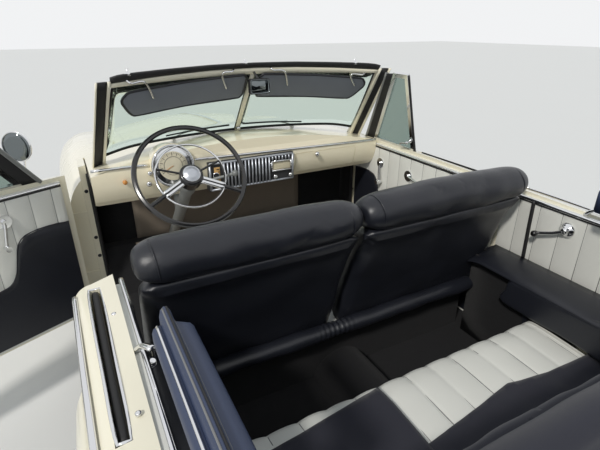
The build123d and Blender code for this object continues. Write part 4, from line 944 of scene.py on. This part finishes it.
for side, sign, _ in both_sides:
    visor = pad_on_glass(f"visor_{side}", [(sign * y, z) for y, z in visor_edge], 0.0365, 0.05, visor_grey)
    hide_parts("sun_visors")
    rim = [on_glass(sign * y, z, 0.044) for y, z in visor_edge]
    tube(f"visor_piping_{side}", rim, 0.0055, vinyl_black, closed=True, spacing=0.015)
for label, line in rods.items():
    tube(f"visor_rod_{label}", [on_glass(*p) for p in line], 0.0042, chrome, spacing=0.008)

# Inside mirror
mirror_z = 1.3655
face = [
    (-0.049, 1.339), (-0.043, 1.333), (0, 1.332), (0.043, 1.333), (0.049, 1.339), (0.049, 1.392),
    (0.043, 1.398), (0, 1.399), (-0.043, 1.398), (-0.049, 1.392),
]
glass_face = [(y * 0.92, mirror_z + (z - mirror_z) * 0.9) for y, z in face]
stalk = [(0.332, 0.0, 1.385), (0.35, 0.0, 1.405), (0.392, 0.0, 1.426)]
for piece in (
    lengthwise("view_mirror", face, 0.333, 0.317, steel_dark),
    lengthwise("view_mirror_glass", glass_face, 0.3178, 0.316, dark_mirror),
    tube("view_mirror_stalk", stalk, 0.0055, steel_dark, spacing=0.01),
):
    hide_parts("inside_mirror")

# Dash: lower edge strips, grille with the radio, dial and knobs
strip_right = [(0.42, -0.735, 1.028), (0.42, -0.3, 1.036), (0.421, 0.1, 1.044), (0.421, 0.295, 1.048)]
strip_left = [(0.421, 0.502, 1.051), (0.421, 0.6, 1.053), (0.421, 0.735, 1.054)]
tube("dash_strip", strip_right, 0.0065, chrome, spacing=0.05)
tube("dash_strip_left", strip_left, 0.0065, chrome, spacing=0.05)
grille_right, grille_left, grille_low, grille_high = -0.2, 0.234, 0.8935, 1.0225
for i in range(20):
    y = 0.1655 - i * 0.018
    low = 0.897 if y > -0.072 else 0.9995
    tube(f"grille_rib_{i}", [(0.3945, y, low), (0.3945, y, 1.019)], 0.0042, bright_metal, spacing=0.1)
for i, z in enumerate((grille_low, grille_high)):
    rail = [(0.399, grille_right, z), (0.399, grille_left, z)]
    tube(f"grille_rail_{i}", rail, 0.0055, bright_metal, spacing=0.1)
for i, y in enumerate((grille_left, grille_right)):
    end = [(0.399, y, grille_low), (0.399, y, grille_high)]
    tube(f"grille_end_{i}", end, 0.0055, bright_metal, spacing=0.1)
radio_frame = [(0.396, -0.082, 0.944), (0.396, -0.19, 0.944), (0.396, -0.19, 0.992), (0.396, -0.082, 0.992)]
for i, (one, other) in enumerate(zip(radio_frame, radio_frame[1:] + radio_frame[:1])):
    tube(f"radio_frame_{i}", [one, other], 0.0045, chrome, spacing=0.1)

dial_centre = Vector((0.404, 0.398, 1.038))
dial_axis = Vector((-90, 0, 15)).normalized()
dial_up = Vector((15, 0, 90)).normalized()
dial_side = Vector((0, 1, 0))
face_rim = [(0, 0.064), (0.0008, 0.064), (0.001, 0.063)]
dial_rim = [(0, 0.086), (0, 0.094), (0.004, 0.0935), (0.006, 0.09), (0.005, 0.086), (0, 0.0835)]
lathe("dial_face", dial_centre + dial_axis * 0.0072, dial_axis, face_rim, dial_face, 48)
lathe("dial_ring", dial_centre + dial_axis * 0.0102, dial_axis, dial_rim, chrome, 64, hollow=True)


def on_dial(radius, angle, lift=0.0086):
    """Place on the dial: the angle runs from its right, upwards."""
    out = dial_side * -math.cos(angle) + dial_up * math.sin(angle)
    return dial_centre + dial_axis * lift + out * radius


marks, mark_faces = [], []
for i in range(31):
    a = math.radians(210 - i * 8)
    inner, half = (0.046, math.radians(1.5)) if i % 3 == 0 else (0.053, math.radians(0.8))
    mark_faces.append(tuple(len(marks) + k for k in range(4)))
    corners = ((inner, a - half), (0.06, a - half), (0.06, a + half), (inner, a + half))
    marks += [on_dial(radius, angle) for radius, angle in corners]
add("dial_marks", marks, mark_faces, dial_mark, flat=True)
circle = [on_dial(0.041, math.radians(a)) for a in range(0, 360, 15)]
tube("dial_circle", circle, 0.0009, dial_mark, closed=True, spacing=0.01, sides=6)
pointer = [on_dial(0, 0, 0.0095), on_dial(0.048, math.radians(205), 0.0095)]
tube("dial_pointer", pointer, 0.0012, knob_orange, sides=6)
for label, x, y, z, radius, finish in (
    ("upper", 0.424, 0.502, 1.016, 0.01, chrome), ("lower", 0.424, 0.511, 0.968, 0.012, chrome),
    ("orange", 0.424, 0.609, 0.99, 0.01, knob_orange), ("glove", 0.424, -0.348, 0.995, 0.012, chrome),
    ("radio_left", 0.404, -0.095, 0.915, 0.011, chrome), ("radio_right", 0.404, -0.178, 0.915, 0.011, chrome),
):
    knob = [
        (0, radius * 0.6), (0.012, radius * 0.6), (0.014, radius), (0.026, radius * 0.95),
        (0.029, radius * 0.6), (0.03, 0.002),
    ]
    lathe(f"knob_{label}", (x, y, z), (-1, 0, 0.1), knob, finish, 20)
bezel = [(0, 0.016), (0.004, 0.016), (0.005, 0.013)]
lathe("dash_light_bezel", (0.4005, 0.205, 0.963), (-1, 0, 0), bezel, chrome, 24)
for name, y0, y1, z0, z1, finish in (
    ("dial_strip_amber", 0.184, 0.213, 0.903, 1.002, amber),
    ("radio_dial", -0.188, -0.084, 0.946, 0.99, knob_ivory),
):
    rows = []
    for i in range(9):
        y = y0 + (y1 - y0) * (i / 8)
        swell = 0.004 * math.sin(math.pi * (i / 8)) ** 0.5
        row = []
        for k in range(13):
            x = 0.4035 - swell * math.sin(math.pi * (k / 12)) ** 0.5 - 0.001
            row.append((x, y, z0 + (z1 - z0) * k / 12))
        rows.append(row)
    panel(name, rows, finish)
for i in range(7):
    z = 0.915 + i * 0.013
    mark = [(0.3985, 0.187, z), (0.3985, 0.196 if i % 2 else 0.202, z)]
    tube(f"amber_mark_{i}", mark, 0.0014, rubber, spacing=0.1)

# Steering wheel: bright spokes, horn ring and hub
tilt = math.radians(42)
wheel_axis = Vector((-math.cos(tilt), 0, math.sin(tilt)))
wheel_hub = Vector((0.187, 0.378, 1.041))
wheel_across = Vector((0, 1, 0))
wheel_down = wheel_axis.cross(wheel_across)


def on_wheel(radius, angle, height):
    """Place on the wheel: the angle runs from the left, downwards, and the height is above the hub."""
    out = wheel_across * math.cos(angle) + wheel_down * math.sin(angle)
    return wheel_hub + wheel_axis * height + out * radius


turning = {"body": "steering_wheel_body"}
for side, angle in (("left", math.radians(30)), ("right", math.radians(150))):
    aside = on_wheel(1, math.radians(90) + angle, 0) - wheel_hub
    for label, shift in (("upper", -0.008), ("lower", 0.008)):
        places = ((0.036, 0.0165), (0.085, 0.0205), (0.14, 0.0245))
        line = [on_wheel(radius, angle, height) + aside * shift for radius, height in places]
        tube(f"spoke_{side}_{label}", line, 0.0085, chrome, sides=12, **turning)
    outer = [on_wheel(0.136, angle, 0.0235), on_wheel(0.206, angle, 0.0285)]
    tube(f"spoke_{side}_outer", outer, 0.0065, plastic_black, sides=12, **turning)
horn_path = [on_wheel(0.14, math.radians(a), 0.024) for a in range(-90, 270, 10)]
tube("horn_ring", horn_path, 0.0042, chrome, closed=True, spacing=0.02, sides=10, **turning)
hub_sides = [(0, 0.0475), (0.008, 0.048), (0.014, 0.045), (0.017, 0.04), (0.017, 0.034)]
emblem = [
    (0, 0.034), (0.005, 0.0335), (0.007, 0.031), (0.0075, 0.026), (0.01, 0.024), (0.0115, 0.012),
    (0.012, 0.002),
]
emblem_ring = [(0, 0.0355), (0.003, 0.035), (0.004, 0.0335), (0.003, 0.0325), (0, 0.032)]
every(lathe, [
    ("hub_ring", wheel_hub + wheel_axis * 0.0195, wheel_axis, hub_sides, plastic_black, 48),
    ("hub_emblem", wheel_hub + wheel_axis * 0.0345, wheel_axis, emblem, bright_metal, 48),
    ("hub_emblem_ring", wheel_hub + wheel_axis * 0.0365, wheel_axis, emblem_ring, chrome, 48,
     {"hollow": True}),
], **turning)


# Floor mat over the tunnel, firewall, kick panels and windlaces at the door openings
def floor_height(x, y):
    """Top of the front floor, with its toe board and tunnel."""
    floor_z, toe_x, toe_slope, toe_rise = 0.35, 0.56, 1.5, 0.21
    tunnel_z, tunnel_radius = 0.33, 0.118
    base = floor_z + min(toe_rise, max(0, x - toe_x) * toe_slope)
    arch = math.sqrt(max(0, tunnel_radius**2 - y**2)) + tunnel_z
    return max(base, arch) + 0.02 * math.exp(-abs(base - arch) / 0.02)


mat_back, mat_length, mat_right, mat_width = 0.24, 0.46, -0.52, 1.1
rows = []
for i in range(57):
    y = mat_right + mat_width * i / 56
    row = []
    for k in range(31):
        x = mat_back + mat_length * k / 30
        row.append((x, y, floor_height(x, y) + 0.005 + 0.003 * noise.noise(Vector((x * 9, y * 9, 0)))))
    rows.append(row)
panel("floor_mat", rows, mat_brown, 0.004)
rows = [[(0.7755, y, z) for z in (0.5, 0.65, 0.8, 0.98)] for y in (-0.742, -0.4, 0, 0.4, 0.742)]
panel("firewall_lining", rows, carpet, 0.0015)
rows = []
for i in range(31):
    y = -0.42 + 0.98 * i / 30
    heights = (0.52, 0.6, 0.68, 0.76, 0.84, 0.9)
    rows.append([(0.766 + 0.004 * noise.noise(Vector((y * 6, z * 6, 2))), y, z) for z in heights])
panel("firewall_pad", rows, mat_brown, 0.008)
pillar_line = [(0.646, 0.742, 0.4), (0.646, 0.742, 0.6), (0.646, 0.742, 0.85), (0.64, 0.742, 0.985)]
kick_rows = [[(x, 0.7415, z) for z in (0.38, 0.5, 0.62, 0.74, 0.86)] for x in (0.652, 0.69, 0.73, 0.776)]
sill_line = straight((-0.43, 0.1, 0.62), 0.728, 0.3345)
plug = [(0, 0.009), (0.003, 0.008), (0.004, 0.002)]
for side, _, place in both_sides:
    tube(f"pillar_windlace_{side}", pillar_line, 0.009, rubber, spacing=0.03, **place)
    panel(f"kick_panel_{side}", kick_rows, carpet, 0.004, **place)
    for i, z in enumerate((0.56, 0.66, 0.9)):
        lathe(f"pillar_plug_{side}_{i}", (0.6465, 0.762, z), (-1, 0, 0), plug, rubber, 16, **place)
    tube(f"sill_strip_{side}", sill_line, 0.01, chrome, squash=0.5, **place)

# Outside: mouldings, lamps, tyres and wheels
front_moulding = [(0.668, 0.8705, 0.7), (1.0, 0.8875, 0.7), (1.3, 0.8965, 0.7)]
head_lens = [(0, 0.079), (0.01, 0.07), (0.017, 0.05), (0.021, 0.028), (0.022, 0.004)]
head_rim = [(0, 0.0945), (0.008, 0.0935), (0.016, 0.086), (0.018, 0.079), (0.012, 0.078)]
tail_lens = [(0, 0.041), (0.008, 0.038), (0.017, 0.026), (0.022, 0.012), (0.023, 0.002)]
lamps = [
    ("headlamp_lens", (2.226, 0.655, 0.77), (1, 0, 0), head_lens, lamp_clear, 48),
    ("headlamp_rim", (2.212, 0.655, 0.77), (1, 0, 0), head_rim, chrome, 48, {"hollow": True}),
    ("tail_lens", (-2.538, 0.625, 0.64), (-1, 0, 0), tail_lens, lamp_red, 40),
]
for side, _, place in both_sides:
    tube(f"front_moulding_{side}", front_moulding, 0.008, chrome, **place)
    every(lathe, lamps, f"_{side}", **place)
hood_top = [(0.83, 0, 1.1085), (1.3, 0, 1.0795), (1.8, 0, 1.0185), (2.1, 0, 0.944)]
tube("hood_strip", hood_top, 0.01, chrome, spacing=0.03, squash=0.7, body="hood_body")
trunk_handle = [(-2.5, 0.05, 0.7), (-2.525, 0.02, 0.705), (-2.525, -0.02, 0.705), (-2.5, -0.05, 0.7)]
tube("trunk_handle", trunk_handle, 0.007, chrome, spacing=0.01, body="trunk_lid_body")

axle_x, tyre_radius, groove_radius = 1.4605, 0.35, 0.344
groove = [
    (-0.01, tyre_radius), (-0.0085, tyre_radius), (-0.007, groove_radius), (-0.0045, groove_radius),
    (-0.003, tyre_radius),
]
tread = [(-0.057, tyre_radius), (-0.05, tyre_radius)]
for middle in (-0.0375, -0.0125, 0.0125, 0.0375):
    tread += [(middle + y, radius) for y, radius in groove]
tread += [(0.05, tyre_radius), (0.057, tyre_radius)]
wall = [
    (0.06, 0.196), (0.07, 0.204), (0.078, 0.225), (0.0835, 0.256), (0.0848, 0.28), (0.083, 0.303),
    (0.079, 0.32), (0.074, 0.33), (0.0735, 0.3345), (0.068, 0.344),
]
tyre_section = [(-y, r) for y, r in wall] + tread + [(y, r) for y, r in reversed(wall)]
wheel_cap = [(-0.006, 0.066), (0.001, 0.064), (0.006, 0.05), (0.01, 0.03), (0.0115, 0.012), (0.012, 0.003)]
wheel_ring = [(0.073, 0.179), (0.07, 0.179), (0.075, 0.183), (0.0755, 0.19), (0.0735, 0.1935)]
for end, x, half_track in (("front", axle_x, 0.724), ("rear", -axle_x, 0.746)):
    for side, sign, _ in both_sides:
        label = f"{end}_{side}"
        body = f"road_wheel_{label}"
        centre, out = Vector((x, sign * half_track, tyre_radius)), Vector((0, sign, 0))
        tyre = lathe(
            f"road_tyre_{label}", centre, (0, 1, 0), tyre_section, tyre_rubber, 96, hollow=True, body=body,
        )
        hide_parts(f"tyre_{label}")
        lathe(f"wheel_cap_{label}", centre + out * 0.0845, out, wheel_cap, chrome, 48, body=body)
        lathe(f"wheel_ring_{label}", centre, out, wheel_ring, chrome, 96, hollow=True, body=body)

# Stage and light
reach, under = 40, -0.002
floor_mesh = bpy.data.meshes.new("stage_floor")
floor_corners = [
    (-reach, -reach, under), (reach, -reach, under), (reach, reach, under), (-reach, reach, under),
]
floor_mesh.from_pydata(floor_corners, [], [(0, 1, 2, 3)])
stage_floor = bpy.data.objects.new("stage_floor", floor_mesh)
bpy.context.collection.objects.link(stage_floor)
floor_mesh.materials.append(material("stage_pale", None, (226, 226, 224), 0.9, mottle=(0.6, 0.01)))

world = bpy.data.worlds.new("studio")
bpy.context.scene.world = world
world.use_nodes = True
nodes, links = world.node_tree.nodes, world.node_tree.links
backdrop = nodes["Background"]
paths = nodes.new("ShaderNodeLightPath")
# 1 for the rays that show the sky, 0 for those that it lights the car with
shown = paths.outputs["Is Camera Ray"]
for ray in ("Is Glossy Ray", "Is Transmission Ray"):
    larger = nodes.new("ShaderNodeMath")
    larger.operation = "MAXIMUM"
    links.new(shown, larger.inputs[0])
    links.new(paths.outputs[ray], larger.inputs[1])
    shown = larger.outputs[0]
level = nodes.new("ShaderNodeMapRange")
level.inputs["To Min"].default_value = 0.55
level.inputs["To Max"].default_value = 0.95
links.new(shown, level.inputs["Value"])
links.new(level.outputs["Result"], backdrop.inputs["Strength"])
tone = nodes.new("ShaderNodeMix")
tone.data_type = "RGBA"
tone.inputs["A"].default_value = (0.88, 0.94, 1.0, 1)
tone.inputs["B"].default_value = (0.93, 0.94, 0.95, 1)
links.new(shown, tone.inputs["Factor"])
links.new(tone.outputs["Result"], backdrop.inputs["Color"])

sun_data = bpy.data.lights.new("sun", "SUN")
sun_data.energy = 2.0
sun_data.angle = math.radians(6)
sun_data.color = (1, 0.97, 0.92)
sun = bpy.data.objects.new("sun", sun_data)
bpy.context.collection.objects.link(sun)
sun.rotation_euler = Vector((0.42, -0.62, -0.66)).to_track_quat("-Z", "Y").to_euler()
